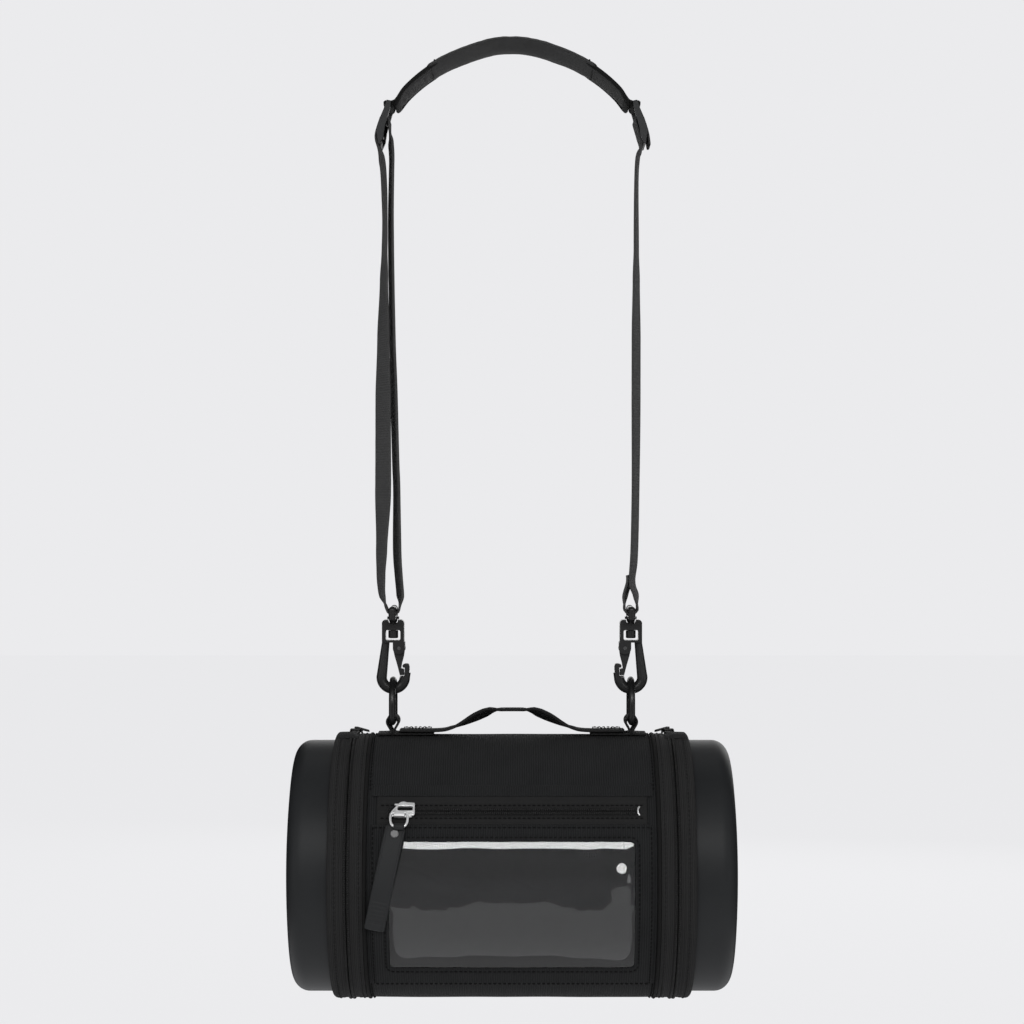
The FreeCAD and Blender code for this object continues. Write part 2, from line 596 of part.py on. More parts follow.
    # gate: a tongue that closes against the inside of the nose
    outline = arc((PIN_U, PIN_Z), GATE_TOP_R, 0, 180, 12)
    tongue = slab([(hang + u, z) for u, z in outline + GATE_TONGUE], 2 * GATE_HALF)
    tongue = tongue.cut(rod(pin_at - THROUGH * Y_AXIS, pin_at + THROUGH * Y_AXIS,
                            PIN_R + PIN_FIT))
    room = SPRING_ROOM[1] * Y_AXIS
    pocket = rod(pin_at - room, pin_at + room, SPRING_ROOM[0])
    both_sides("gate", tongue.cut(pocket))
    half = SPRING_HALF * Y_AXIS
    coil = rod(pin_at - half, pin_at + half, SPRING_R[1])
    coil = coil.cut(rod(pin_at - room, pin_at + room, SPRING_R[0]))
    both_sides("gate_spring", coil)


# ---- shoulder strap ---------------------------------------------------------------------------

def on_buckle(outwards, down):
    """A point in the left buckle's own directions, as (x, z)."""
    dx, dz = BUCKLE_DOWN
    return (BUCKLE_TOP[0] + down * dx + outwards * dz,
            BUCKLE_TOP[1] + down * dz - outwards * dx)


def bend_on_buckle(outwards, down, radius, first, last, steps=10):
    """Points round one of the buckle's bars, 0 degrees outwards and 90 upwards."""
    points = []
    for i in range(steps + 1):
        a = math.radians(first + (last - first) * i / steps)
        points.append(on_buckle(outwards + radius * math.cos(a), down - radius * math.sin(a)))
    return points


TOP_BAR = (0.0, 1.8)
MID_BAR = (0.6, 12.5)
LOW_BAR = (1.4, 22.0)


def make_buckles():
    """Ladder-lock buckles: two side rails, three bars and a lifting tab."""
    outline = [(1.4, 0), (2.2, 6), (3.6, 13), (4.2, 17), (3.6, 22), (1.9, 27), (1.3, 29.2),
               (-0.1, 29.2), (-1.2, 24), (-0.8, 17), (-1.4, 10), (-1.8, 4), (-1.4, 0)]
    rail = slab([on_buckle(*p) for p in outline], BUCKLE_RAIL)
    away = (BUCKLE_SLOT + BUCKLE_RAIL) / 2
    one, two = rail.copy(), rail.copy()
    one.translate(V(0, away, 0))
    two.translate(V(0, -away, 0))
    body = one.fuse(two)
    for outwards, down in (TOP_BAR, MID_BAR, LOW_BAR):
        x, z = on_buckle(outwards, down)
        body = body.fuse(rod(V(x, -away, z), V(x, away, z), BUCKLE_BAR))
    tab = slab([on_buckle(*p) for p in ((0.2, 25.4), (1.8, 25.4), (1.3, 29.2), (-0.1, 29.2))],
               2 * away)
    both_sides("buckle", body.fuse(tab).removeSplitter())


def make_pad():
    """Foam core, cover, sleeve, and the webbing that carries the pad."""
    core = pad_sector(PAD_CORE, CORE_ANGLE, CORE_W)
    save("pad_core", core)
    save("pad_cover", pad_sector(PAD_COVER, COVER_ANGLE, COVER_W).cut(core))
    sleeve = pad_sector(PAD_SLEEVE, SLEEVE_ANGLE, SLEEVE_W)
    save("pad_sleeve", sleeve.cut(pad_sector(PAD_SLEEVE_HOLE, SLEEVE_ANGLE + 2, COVER_W + 1)))
    turn = BUCKLE_BAR + 0.35 + WEB_T / 2
    # from the middle of the pad to the left, round the buckle's top bar, and back
    left = arc((0, -PAD_R), PAD_WEB, 90, 90 + COVER_ANGLE, 24)[1:]
    left += bend_on_buckle(*TOP_BAR, turn, 25, -180, 14)
    left += [on_buckle(-2.35, -1.0)]
    right = [(-x, z) for x, z in left[::-1]]
    save("pad_webbing", ribbon(right + [(0, PAD_WEB - PAD_R)] + left, WEB_T, WEB_W))


def make_strap_webbing():
    """Left: an adjustable loop of two runs. Right: one run, sewn at the hook."""
    turn = BUCKLE_BAR + 0.35 + WEB_T / 2
    # the webbing hangs in a wide loop that touches only the underside of the bar
    eye_turn = EYE_BAR_R + EYE_SLACK + WEB_T / 2
    eye = (-HANG_X, EYE_BAR_Z + EYE_SLACK - 0.1)
    outer = [on_buckle(4.2, 22.0), on_buckle(3.4, 30.0), (-84.6, -78.0), (-84.4, -111.0),
             (-84.6, -151.0), (-84.6, -231.0), (-84.8, -291.0), (-85.6, -331.0),
             (-85.0, -352.0)]
    inner = [(-74.2, -352.0), (-74.9, -331.0), (-77.4, -291.0), (-79.2, -231.0),
             (-80.6, -151.0), (-81.2, -111.0), (-81.6, -78.0), on_buckle(-1.4, 30.0),
             on_buckle(-1.4, 22.0)]
    line = bend_on_buckle(*MID_BAR, turn, 180, 0, 10)
    line += outer + arc(eye, eye_turn, 200, 340, 10) + inner
    save("left_webbing", ribbon_loop(line, WEB_T, WEB_W))
    # the right run is laid out on the left and mirrored
    run = [on_buckle(4.2, 22.0), on_buckle(3.8, 30.0)][::-1]
    run += bend_on_buckle(*MID_BAR, turn, 0, 180, 10)
    run += [on_buckle(-1.4, 22.0), on_buckle(-1.4, 30.0), (-83.0, -78.0), (-82.6, -151.0),
            (-82.6, -271.0), (-81.6, -331.0), (-80.1, -352.0), (-83.0, -361.0)]
    run += arc(eye, eye_turn, 190, 350, 10)
    run += [(-75.4, -361.0), (-78.1, -352.3), (-78.3, -347.6)]
    save("right_webbing", mirrored(ribbon(run, WEB_T, WEB_W)))


def main():
    os.makedirs("parts", exist_ok=True)
    make_barrel()
    make_end_bands()
    make_caps()
    make_end_slider()
    coil_top = make_pocket()
    make_pocket_slider(coil_top)
    make_handle()
    make_d_ring()
    make_hook()
    make_buckles()
    make_pad()
    make_strap_webbing()


main()
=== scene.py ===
"""Looks of the barrel bag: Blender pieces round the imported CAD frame.

Lengths are in mm until mm() or a factor of 0.001 turns them to metres. Angles round the barrel
are in degrees from its top, positive towards the front.
"""

import math

import bmesh
import bpy
from mathutils import Matrix, Vector, noise


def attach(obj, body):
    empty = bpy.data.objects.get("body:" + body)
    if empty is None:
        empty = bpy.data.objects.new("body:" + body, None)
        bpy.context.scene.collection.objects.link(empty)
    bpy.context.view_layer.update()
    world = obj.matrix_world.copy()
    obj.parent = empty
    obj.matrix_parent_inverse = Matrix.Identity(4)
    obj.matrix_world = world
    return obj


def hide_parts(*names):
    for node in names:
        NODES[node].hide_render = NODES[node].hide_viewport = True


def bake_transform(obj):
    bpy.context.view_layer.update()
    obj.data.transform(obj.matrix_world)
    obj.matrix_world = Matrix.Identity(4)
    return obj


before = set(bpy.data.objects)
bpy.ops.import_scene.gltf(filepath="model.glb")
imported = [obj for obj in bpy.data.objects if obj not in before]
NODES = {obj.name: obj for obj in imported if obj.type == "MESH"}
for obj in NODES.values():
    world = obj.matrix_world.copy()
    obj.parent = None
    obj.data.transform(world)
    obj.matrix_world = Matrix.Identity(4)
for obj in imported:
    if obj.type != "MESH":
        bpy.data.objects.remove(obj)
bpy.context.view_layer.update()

# ---- sizes shared with the CAD, in mm --------------------------------------------------------

BAG_Z = -540.7             # height of the barrel's axis
R_SHELL = 86.8             # outside of the woven body
BODY_HALF = 92.2           # half of its length
DEG = math.pi * R_SHELL / 180      # mm per degree round the barrel
PIPING_X = 93.3            # middle of the piping
CHAIN_X = 105.0            # plane where the end zip parts
END_ZIP_A = (-18.0, 288.0) # angles between which the end zip runs
R_CAP = 82.7               # outside of the moulded cap
CAP_X = (107.0, 143.8)     # its open edge and the plane where its dome begins
CAP_DOME = 4.4
CAP_FILLET = 10.7
HINGE_AT = -45.0           # middle of the fabric hinge
HINGE_HALF = 23.0
HINGE_X = (97.9, 112.0)
HANG_X = 79.2              # middle of the hooks, rings and anchor loops
PAD_R = 94.0               # distance of the pad's centre of bend below the origin
SIDES = (("left", -1), ("right", 1))


def mm(x, y, z):
    """A point given in millimetres."""
    return Vector((x, y, z)) * 0.001


def on_barrel(x, radius, angle):
    """A point round the barrel: degrees from the top, positive towards the front."""
    a = math.radians(angle)
    return mm(x, -radius * math.sin(a), BAG_Z + radius * math.cos(a))


def outwards(angle):
    """The direction away from the barrel's axis."""
    return on_barrel(0, 1, angle) - on_barrel(0, 0, angle)


def wobble(x, y, z=0.0, size=1.0):
    """Smooth noise from -1 to 1 whose bumps are about size across."""
    return noise.noise(Vector((x / size + 11.3, y / size - 4.7, z / size + 2.1)))


def ramp(t, low, high):
    """0 below low, 1 above high, smooth between."""
    t = min(1.0, max(0.0, (t - low) / (high - low)))
    return t * t * (3 - 2 * t)


# ---- materials -------------------------------------------------------------------------------

class Shader:
    """A small helper to build one material's nodes."""

    def __init__(self, name):
        self.material = bpy.data.materials.new(name)
        self.material.use_nodes = True
        self.tree = self.material.node_tree
        self.bsdf = self.tree.nodes["Principled BSDF"]

    def node(self, kind, inputs=(), **settings):
        """Add a node; inputs are pairs of socket and value or another node's output."""
        n = self.tree.nodes.new(kind)
        for key, value in settings.items():
            setattr(n, key, value)
        for key, value in dict(inputs).items():
            self.put(n.inputs[key], value)
        return n

    def put(self, socket, value):
        if isinstance(value, bpy.types.NodeSocket):
            self.tree.links.new(value, socket)
        else:
            socket.default_value = value

    def math(self, operation, a, b=0.0):
        return self.node("ShaderNodeMath", {0: a, 1: b}, operation=operation).outputs[0]

    def noise(self, scale, detail=3.0, vector=None):
        """Noise in the piece's own space; scale in bumps per metre."""
        if vector is None:
            vector = self.node("ShaderNodeTexCoord").outputs["Object"]
        n = self.node("ShaderNodeTexNoise", {"Vector": vector, "Scale": scale, "Detail": detail})
        return n.outputs["Fac"]

    def weave_axes(self):
        """The two directions of the cloth, in mm, from the map that every cloth mesh carries."""
        uv = self.node("ShaderNodeUVMap", uv_map="cloth").outputs["UV"]
        parts = self.node("ShaderNodeSeparateXYZ", {0: uv})
        return parts.outputs["X"], parts.outputs["Y"], uv

    def ribs(self, along, pitch, sharp=1.0):
        """Rounded ribs, 0 in the grooves and 1 on the crowns."""
        turn = self.math("MULTIPLY", along, math.pi / pitch)
        crown = self.math("ABSOLUTE", self.math("SINE", turn))
        return self.math("POWER", crown, sharp)

    def mix(self, factor, dark, light):
        n = self.node("ShaderNodeMix", {0: factor, 6: dark, 7: light}, data_type="RGBA")
        return n.outputs[2]

    def finish(self, color, rough, height=None, depth=0.0, **fixed):
        """Wire up colour, roughness and bump, and set the sockets that stay fixed."""
        sockets = self.bsdf.inputs
        self.put(sockets["Base Color"], color)
        self.put(sockets["Roughness"], rough)
        if height is not None:
            bump = self.node("ShaderNodeBump", {"Height": height, "Strength": 1.0,
                                                "Distance": depth})
            self.put(sockets["Normal"], bump.outputs["Normal"])
        for key, value in fixed.items():
            sockets[key.replace("_", " ")].default_value = value
        return self.material


def grey(value, warm=0.0):
    """A colour from its brightness, with a touch of warmth."""
    return (value * (1 + warm), value, value * (1 - warm), 1.0)


def cloth(name, value, warp, weft, warm=0.0, depth=0.00025, rib_power=0.8, rib_light_and_shade=0.35,
          specular=0.06):
    """Woven cloth: ribs warp and weft mm apart across each other, uneven yarns, painted shade in the
    grooves and painted light on the crowns.
    """
    s = Shader(name)
    u, v, uv = s.weave_axes()
    patch = s.noise(0.05, 4.0, uv)
    yarn = s.noise(1.3, 2.0, uv)
    rib_u = s.ribs(s.math("ADD", u, s.math("MULTIPLY", yarn, 0.22 * warp)), warp, rib_power)
    rib_v = s.ribs(v, weft, 0.6)
    height = s.math("ADD", s.math("MULTIPLY", rib_u, 0.75), s.math("MULTIPLY", rib_v, 0.35))
    height = s.math("ADD", height, s.math("MULTIPLY", yarn, 0.3))
    # painted shade and light: darker in the rib grooves, lighter on the rib crowns, its strength
    # uneven in patches
    tone = s.math("MULTIPLY", height, s.math("ADD", 0.55, s.math("MULTIPLY", patch, 0.7)))
    color = s.mix(tone, grey(value * (1 - rib_light_and_shade), warm), grey(value * (1 + 1.6 * rib_light_and_shade), warm))
    rough = s.math("ADD", 0.72, s.math("MULTIPLY", yarn, 0.2))
    return s.finish(color, rough, height, depth, Sheen_Weight=0.015, Sheen_Roughness=0.45,
                    Specular_IOR_Level=specular)


def moulded(name, value, rough, grain, depth=0.00004, specular=0.5, warm=0.0):
    """Moulded plastic or rubber: fine grain, faint flow clouds and rubbed patches."""
    s = Shader(name)
    fine = s.noise(grain, 2.0)
    cloud = s.noise(22.0, 4.0)
    color = s.mix(cloud, grey(value * 0.8, warm), grey(value * 1.25, warm))
    rubbed = s.math("ADD", rough - 0.06, s.math("MULTIPLY", cloud, 0.12))
    return s.finish(color, rubbed, fine, depth, Specular_IOR_Level=specular)


def metal(name, value, rough, scratch=0.15, metallic=1.0):
    """Plated or coated metal with fine scratches and dull patches."""
    s = Shader(name)
    place = s.node("ShaderNodeTexCoord").outputs["Object"]
    stretch = s.node("ShaderNodeMapping", {"Vector": place, "Scale": (900.0, 900.0, 120.0)})
    lines = s.noise(1.0, 3.0, stretch.outputs[0])
    cloud = s.noise(160.0, 3.0)
    color = s.mix(cloud, grey(value * 0.85), grey(value * 1.1))
    uneven = s.math("ADD", rough - scratch / 2, s.math("MULTIPLY", lines, scratch))
    return s.finish(color, uneven, lines, 0.00001, Metallic=metallic)


def clear_film(name):
    """Clear vinyl with a faint smear."""
    s = Shader(name)
    smear = s.noise(14.0, 3.0)
    ripple = s.noise(30.0, 1.0)
    rough = s.math("ADD", 0.01, s.math("MULTIPLY", smear, 0.015))
    return s.finish((0.93, 0.94, 0.94, 1.0), rough, ripple, 0.0001, Transmission_Weight=1.0,
                    IOR=1.48)


def flat_paint(name, color, glow):
    """A plain stage surface that keeps an even tone."""
    s = Shader(name)
    s.bsdf.inputs["Emission Color"].default_value = glow
    s.bsdf.inputs["Emission Strength"].default_value = 1.0
    return s.finish(color, 1.0, Specular_IOR_Level=0.0)


MAT = {
    "woven": cloth("woven_fabric", 0.0078, 1.5, 0.9, -0.03, rib_light_and_shade=0.48, depth=0.0004),
    "band": cloth("band_fabric", 0.0105, 1.2, 0.8, 0.0, depth=0.0003, rib_light_and_shade=0.4),
    "strap_fabric": cloth("strap_fabric", 0.0230, 1.0, 0.8, rib_light_and_shade=0.5),
    # painted light: the straps get the webbing below in a lighter colour, standing in for the light
    # that falls on them
    "lit_strap_web": cloth("strap_webbing", 0.0250, 0.9, 1.5, 0.0, depth=0.0005, rib_power=0.55,
                       rib_light_and_shade=0.5),
    "webbing": cloth("webbing", 0.0095, 0.9, 1.5, 0.0, depth=0.0005, rib_power=0.55, rib_light_and_shade=0.5),
    "lining": cloth("lining", 0.012, 0.6, 0.6, 0.0, depth=0.00005),
    "binding": cloth("binding", 0.006, 0.8, 0.6, 0.0, depth=0.0002, specular=0.04),
    "zip_tape": cloth("zip_tape", 0.0095, 1.0, 0.55, 0.0, depth=0.0002),
    "thread": cloth("thread", 0.0035, 0.35, 0.5, 0.0, depth=0.0001, specular=0.04),
    "band_thread": cloth("band_thread", 0.0085, 0.35, 0.5, 0.0, depth=0.0001),
    "backing": cloth("pocket_backing", 0.0038, 0.7, 0.7, -0.03, depth=0.00003, rib_light_and_shade=0.55),
    "coil": moulded("zip_coil", 0.013, 0.5, 1500.0, specular=0.2),
    "cap": moulded("moulded_cap", 0.0125, 0.5, 2600.0, 0.00001, 0.2, -0.07),
    "plastic": moulded("black_plastic", 0.012, 0.5, 1400.0, 0.00002, 0.25, -0.05),
    "rubber": moulded("black_rubber", 0.0135, 0.6, 1800.0, 0.00004, 0.22, -0.05),
    "film": clear_film("clear_sheet"),
    "bright": metal("bright_metal", 0.72, 0.3, 0.12, metallic=0.6),
    "black_metal": metal("black_metal", 0.018, 0.45, 0.2, metallic=0.6),
    "ring_metal": metal("ring_metal", 0.05, 0.38, 0.15, metallic=0.9),
    "hook": moulded("hook_metal", 0.012, 0.36, 1300.0, 0.00002, 0.35),
    "steel": metal("pin_steel", 0.2, 0.35),
    "rivet": metal("rivet_metal", 0.13, 0.5, metallic=0.5),
}


# ---- mesh helpers ----------------------------------------------------------------------------

def piece(name, mesh, material, body, slot=None, replaces=()):
    """Put a finished mesh in the scene and tie it to its body."""
    obj = bpy.data.objects.new(name, mesh)
    bpy.context.scene.collection.objects.link(obj)
    mesh.materials.append(MAT[material])
    mesh.polygons.foreach_set("use_smooth", [True] * len(mesh.polygons))
    if body:
        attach(obj, body)
    if replaces:
        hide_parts(*replaces)
    return obj


def grid(name, rows, cols, point, cloth_map=None, closed_rows=False, closed_cols=False):
    """A mesh from point(i, j), i over rows and j over cols. cloth_map(i, j) gives mm along the
    cloth. Closed directions join their last line to their first."""
    mesh = bpy.data.meshes.new(name)
    across = cols if closed_cols else cols + 1
    down = rows if closed_rows else rows + 1
    verts = [point(i, j) for i in range(down) for j in range(across)]
    faces = []
    corners = []
    for i in range(rows):
        for j in range(cols):
            quad = [(i, j), (i, j + 1), (i + 1, j + 1), (i + 1, j)]
            faces.append([(a % down) * across + b % across for a, b in quad])
            corners.extend(quad)
    mesh.from_pydata(verts, [], faces)
    layer = mesh.uv_layers.new(name="cloth")
    if cloth_map:
        for loop, (i, j) in zip(layer.data, corners):
            loop.uv = cloth_map(i, j)
    mesh.validate()
    return mesh


def mend(mesh, weld=0.0, fill=False):
    """Weld points closer than weld metres, fill open ends and turn all faces outwards."""
    bm = bmesh.new()
    bm.from_mesh(mesh)
    if weld:
        bmesh.ops.remove_doubles(bm, verts=bm.verts, dist=weld)
    if fill:
        bmesh.ops.holes_fill(bm, edges=[e for e in bm.edges if e.is_boundary], sides=0)
    bmesh.ops.recalc_face_normals(bm, faces=bm.faces)
    bm.to_mesh(mesh)
    bm.free()


def closed_profile(name, steps, outline, place, scale_u=1.0, closed=True):
    """Sweep a closed outline of (a, b) pairs through steps; place(i, a, b) gives the point and
    scale_u the mm per step. A sweep that isn't closed gets flat ends."""
    n = len(outline)
    lengths = [0.0]
    for k in range(n):
        a, b = outline[k], outline[(k + 1) % n]
        lengths.append(lengths[-1] + math.hypot(a[0] - b[0], a[1] - b[1]))

    def cloth_map(i, j):
        return (lengths[j], i * scale_u)

    mesh = grid(name, steps, n, lambda i, j: place(i, *outline[j % n]), cloth_map,
                closed_rows=closed, closed_cols=True)
    mend(mesh, fill=not closed)
    return mesh


def rounded_strip(width, thick, edge=5, flat=6):
    """Outline of a strip's cross-section with round edges: (across, out) pairs."""
    r = thick / 2
    half = width / 2 - r
    points = []
    for sign in (1, -1):
        for k in range(flat):
            points.append((sign * (-half + 2 * half * k / flat), sign * r))
        for k in range(edge):
            t = sign * math.pi / 2 - math.pi * k / edge
            points.append((sign * half + r * math.cos(t), r * math.sin(t)))
    return points


def smooth_line(points, step):
    """A smooth curve through 3-D points in mm, sampled about every step mm."""
    p = [Vector(q) for q in points]
    ends = [p[0] * 2 - p[1]] + p + [p[-1] * 2 - p[-2]]
    line = []
    for k in range(1, len(ends) - 2):
        a, b, c, d = ends[k - 1:k + 3]
        count = max(2, int((c - b).length / step))
        for i in range(count):
            t = i / count
            line.append(0.5 * ((2 * b) + (c - a) * t + (2 * a - 5 * b + 4 * c - d) * t * t
                               + (3 * b - a - 3 * c + d) * t ** 3))
    line.append(p[-1])
    return line


def strap(name, points, width, thick, across_at=None, closed=False):
    """Webbing along a line. across_at(point) gives the direction of its width."""
    line = smooth_line(points, 1.6)
    if closed:
        line = line[:-1]
    n = len(line)
    frames = []
    for k, p in enumerate(line):
        before = line[k - 1] if k or closed else p
        after = line[(k + 1) % n] if k < n - 1 or closed else p
        along = (after - before).normalized()
        across = across_at(p) if across_at else Vector((0, 1, 0))
        across = (across - along * across.dot(along)).normalized()
        frames.append((p, across, along.cross(across)))

    def place(i, a, b):
        p, across, out = frames[i % n]
        uneven = 1 + 0.012 * wobble(i * 0.3, a * 0.4, 0, 1.0)
        return (p + across * a * uneven + out * b) * 0.001

    steps = n if closed else n - 1
    length = sum((line[k + 1] - line[k]).length for k in range(n - 1))
    return closed_profile(name, steps, rounded_strip(width, thick), place, length / n, closed)


def stitches(name, places, body, size=(2.3, 0.42), material="thread", slot="binding"):
    """One mesh of small thread stitches. places holds (middle, along, out) in metres."""
    mesh = bpy.data.meshes.new(name)
    verts, faces = [], []
    half, thick = size[0] / 2000, size[1] / 1000
    rings = ((-1.0, 0.15, -0.9), (-0.8, 0.8, -0.1), (-0.3, 1.0, 0.35), (0.3, 1.0, 0.35),
             (0.8, 0.8, -0.1), (1.0, 0.15, -0.9))
    sides = 6
    for middle, along, out in places:
        across = along.cross(out)
        base = len(verts)
        for t, fat, rise in rings:
            c = middle + along * (t * half) + out * (rise * thick)
            for k in range(sides):
                a = 2 * math.pi * k / sides
                verts.append(c + (across * math.cos(a) + out * math.sin(a)) * thick * fat)
        for i in range(len(rings) - 1):
            for k in range(sides):
                a, b = base + i * sides + k, base + i * sides + (k + 1) % sides
                faces.append((a, b, b + sides, a + sides))
        faces.append([base + k for k in range(sides)][::-1])
        faces.append([base + (len(rings) - 1) * sides + k for k in range(sides)])
    mesh.from_pydata(verts, [], faces)
    layer = mesh.uv_layers.new(name="cloth")
    for loop, corner in zip(layer.data, mesh.loops):
        co = mesh.vertices[corner.vertex_index].co
        loop.uv = (co.x * 1000, co.z * 1000)
    return piece(name, mesh, material, body, slot)


def row_of_stitches(path, pitch=3.1):
    """Stitch places along path(t), t from 0 to 1, which returns (point, outward) in metres."""
    fine = 400
    samples = [path(k / fine)[0] for k in range(fine + 1)]
    total = [0.0]
    for a, b in zip(samples, samples[1:]):
        total.append(total[-1] + (b - a).length)
    count = max(1, int(total[-1] / (pitch * 0.001)))
    out = []
    k = 0
    for i in range(count):
        want = total[-1] * (i + 0.5) / count
        while k < fine - 1 and total[k + 1] < want:
            k += 1
        share = (want - total[k]) / max(1e-9, total[k + 1] - total[k])
        t = (k + share) / fine
        p, up = path(t)
        q, _ = path(min(1.0, t + 0.0015))
        o, _ = path(max(0.0, t - 0.0015))
        along = (q - o).normalized()
        up = (up - along * up.dot(along)).normalized()
        out.append((p + up * 0.0001, along, up))
    return out


def barrel_row(x, radius, a0, a1):
    """Stitches round the barrel at one x."""
    def path(t):
        a = a0 + (a1 - a0) * t
        return on_barrel(x, radius, a), outwards(a)
    return row_of_stitches(path)


def length_row(x0, x1, radius, a):
    """Stitches along the barrel at one angle."""
    def path(t):
        return on_barrel(x0 + (x1 - x0) * t, radius, a), outwards(a)
    return row_of_stitches(path)


# ---- camera, stage and light -----------------------------------------------------------------

# all in metres
CAMERA_Z = -0.3057
CAMERA_BACK = 1.6
VIEW_WIDTH = 0.683         # width seen at the object's middle plane
FLOOR_Z = -0.76
FLOOR_REACH = (-6, 6)
CARD_Z = FLOOR_Z + 0.003
FLOOR_GLOW = (0.765, 0.765, 0.780, 1.0)
DARK_GLOW = (0.055, 0.055, 0.065, 1.0)
CARD_EDGE_Y = -0.49        # where the pale floor stops, as the window reflects it


def stage_plane(name, x, y, z, material):
    """A flat piece of the stage, given its limits."""
    mesh = grid(name, 1, 1, lambda i, j: Vector((x[j], y[i], z)))
    mesh.materials.append(material)
    obj = bpy.data.objects.new(name, mesh)
    bpy.context.scene.collection.objects.link(obj)
    return obj


def make_camera():
    """A level camera in front of the bag."""
    data = bpy.data.cameras.new("camera")
    data.sensor_width = 36.0
    data.lens = data.sensor_width * CAMERA_BACK / VIEW_WIDTH
    data.clip_start = 0.01
    camera = bpy.data.objects.new("camera", data)
    camera.location = (0, -CAMERA_BACK, CAMERA_Z)
    camera.rotation_euler = (math.radians(90), 0, 0)
    bpy.context.scene.collection.objects.link(camera)
    bpy.context.scene.camera = camera


def area_light(name, place, target, size, radiance):
    """A soft light panel that faces a target. radiance is how bright the panel is."""
    data = bpy.data.lights.new(name, "AREA")
    data.shape = "RECTANGLE"
    data.size, data.size_y = size
    data.energy = radiance * math.pi * size[0] * size[1]
    light = bpy.data.objects.new(name, data)
    light.location = place
    aim = Vector(target) - Vector(place)
    light.rotation_euler = aim.to_track_quat("-Z", "Y").to_euler()
    light.visible_camera = False
    bpy.context.scene.collection.objects.link(light)


def make_stage():
    """Pale floor and sky, soft panels, and two cards that only reflections see."""
    scene = bpy.context.scene
    scene.view_settings.view_transform = "Standard"
    world = bpy.data.worlds.new("studio")
    world.use_nodes = True
    back = world.node_tree.nodes["Background"]
    back.inputs["Color"].default_value = (0.831, 0.831, 0.847, 1.0)
    scene.world = world
    world.cycles_visibility.glossy = False
    pale = flat_paint("floor", (0.06, 0.06, 0.06, 1.0), FLOOR_GLOW)
    dark = flat_paint("dark_card", (0.02, 0.02, 0.02, 1.0), DARK_GLOW)
    floor = stage_plane("floor", FLOOR_REACH, FLOOR_REACH, FLOOR_Z, pale)
    floor.visible_glossy = False
    near = stage_plane("pale_card", (-0.5, 0.5), (CARD_EDGE_Y, 0.3), CARD_Z, pale)
    card = stage_plane("dark_card", FLOOR_REACH, (FLOOR_REACH[0], CARD_EDGE_Y), CARD_Z, dark)
    for obj in (card, near):
        for kind in ("camera", "diffuse", "transmission", "volume_scatter", "shadow"):
            setattr(obj, "visible_" + kind, False)
    # the key panel's lower edge sits just above what the window's upper edge reflects
    low, high = Vector((0, -1.25, 0.02)), Vector((0, -1.12, 0.20))
    middle = (low + high) / 2
    rise = high - low
    area_light("key", middle, middle + Vector((0, rise.z, -rise.y)), (1.5, rise.length), 9.0)
    bag = (0, 0, BAG_Z * 0.001)
    for side, s in SIDES:
        area_light(side + "_strip", (s * 1.25, -0.7, -0.35), bag, (0.5, 1.2), 1.2)
    area_light("back_top", (0, 0.9, 0.9), bag, (1.4, 0.7), 0.6)
    area_light("back_fill", (0.3, 1.6, -0.1), bag, (1.6, 0.8), 2.0)


make_camera()
make_stage()


# ---- barrel wall -----------------------------------------------------------------------------

TURN = 288                 # steps round the barrel


def turned_piece(name, outline, material, body, slot, replaces=(), ripple=None, steps=TURN):
    """A closed outline of (x, radius) pairs turned round the barrel. ripple(x, r, angle) gives
    extra (x, r) in mm."""
    def place(i, x, r):
        a = 360.0 * i / steps
        dx, dr = ripple(x, r, a) if ripple else (0.0, 0.0)
        return on_barrel(x + dx, r + dr, a)
    mesh = closed_profile(name, steps, outline, place, 2 * math.pi * R_SHELL / steps)
    return piece(name, mesh, material, body, slot, replaces)


def fine_outline(points, step=1.2):
    """The same closed outline with more points on its long sides."""
    out = []
    n = len(points)
    for k in range(n):
        a, b = points[k], points[(k + 1) % n]
        count = max(1, int(math.hypot(b[0] - a[0], b[1] - a[1]) / step))
        for i in range(count):
            out.append((a[0] + (b[0] - a[0]) * i / count, a[1] + (b[1] - a[1]) * i / count))
    return out


def shell_ripple(x, r, a):
    """How the woven body lies: puckers at the end seams, slack folds behind the window."""
    from_end = BODY_HALF - abs(x)
    pucker = math.exp(-from_end / 5.0)
    dr = -0.35 * pucker * (0.6 + 0.4 * math.sin(math.radians(a) * 74 + 2 * wobble(a, 0, 0, 9)))
    dr += 0.22 * wobble(x, a * 1.5, 0, 34) - 0.12
    behind = ramp(a, 66, 76) * (1 - ramp(a, 130, 138)) * ramp(from_end, 12, 24)
    fold = wobble(x * 0.55, a * 1.5 + 9 * wobble(x, a, 3, 40), 0, 13)
    dr -= behind * (0.9 + 0.9 * fold)
    return 0.0, min(dr, 0.05)


def make_shell():
    """The woven body."""
    under = 85.7
    seam = BODY_HALF - 0.8
    outline = fine_outline([(-BODY_HALF, under), (-BODY_HALF, R_SHELL - 0.4), (-seam, R_SHELL),
                            (seam, R_SHELL), (BODY_HALF, R_SHELL - 0.4), (BODY_HALF, under)], 2.2)
    # the hidden underside stays one long face
    outline = [p for p in outline if p[1] > under + 0.01] + [(BODY_HALF, under), (-BODY_HALF, under)]

    def ripple(x, r, a):
        return shell_ripple(x, r, a) if r > 86 else (0.0, 0.0)

    turned_piece("body_fabric", outline, "woven", "bag", "woven_fabric", ["body_shell"], ripple)


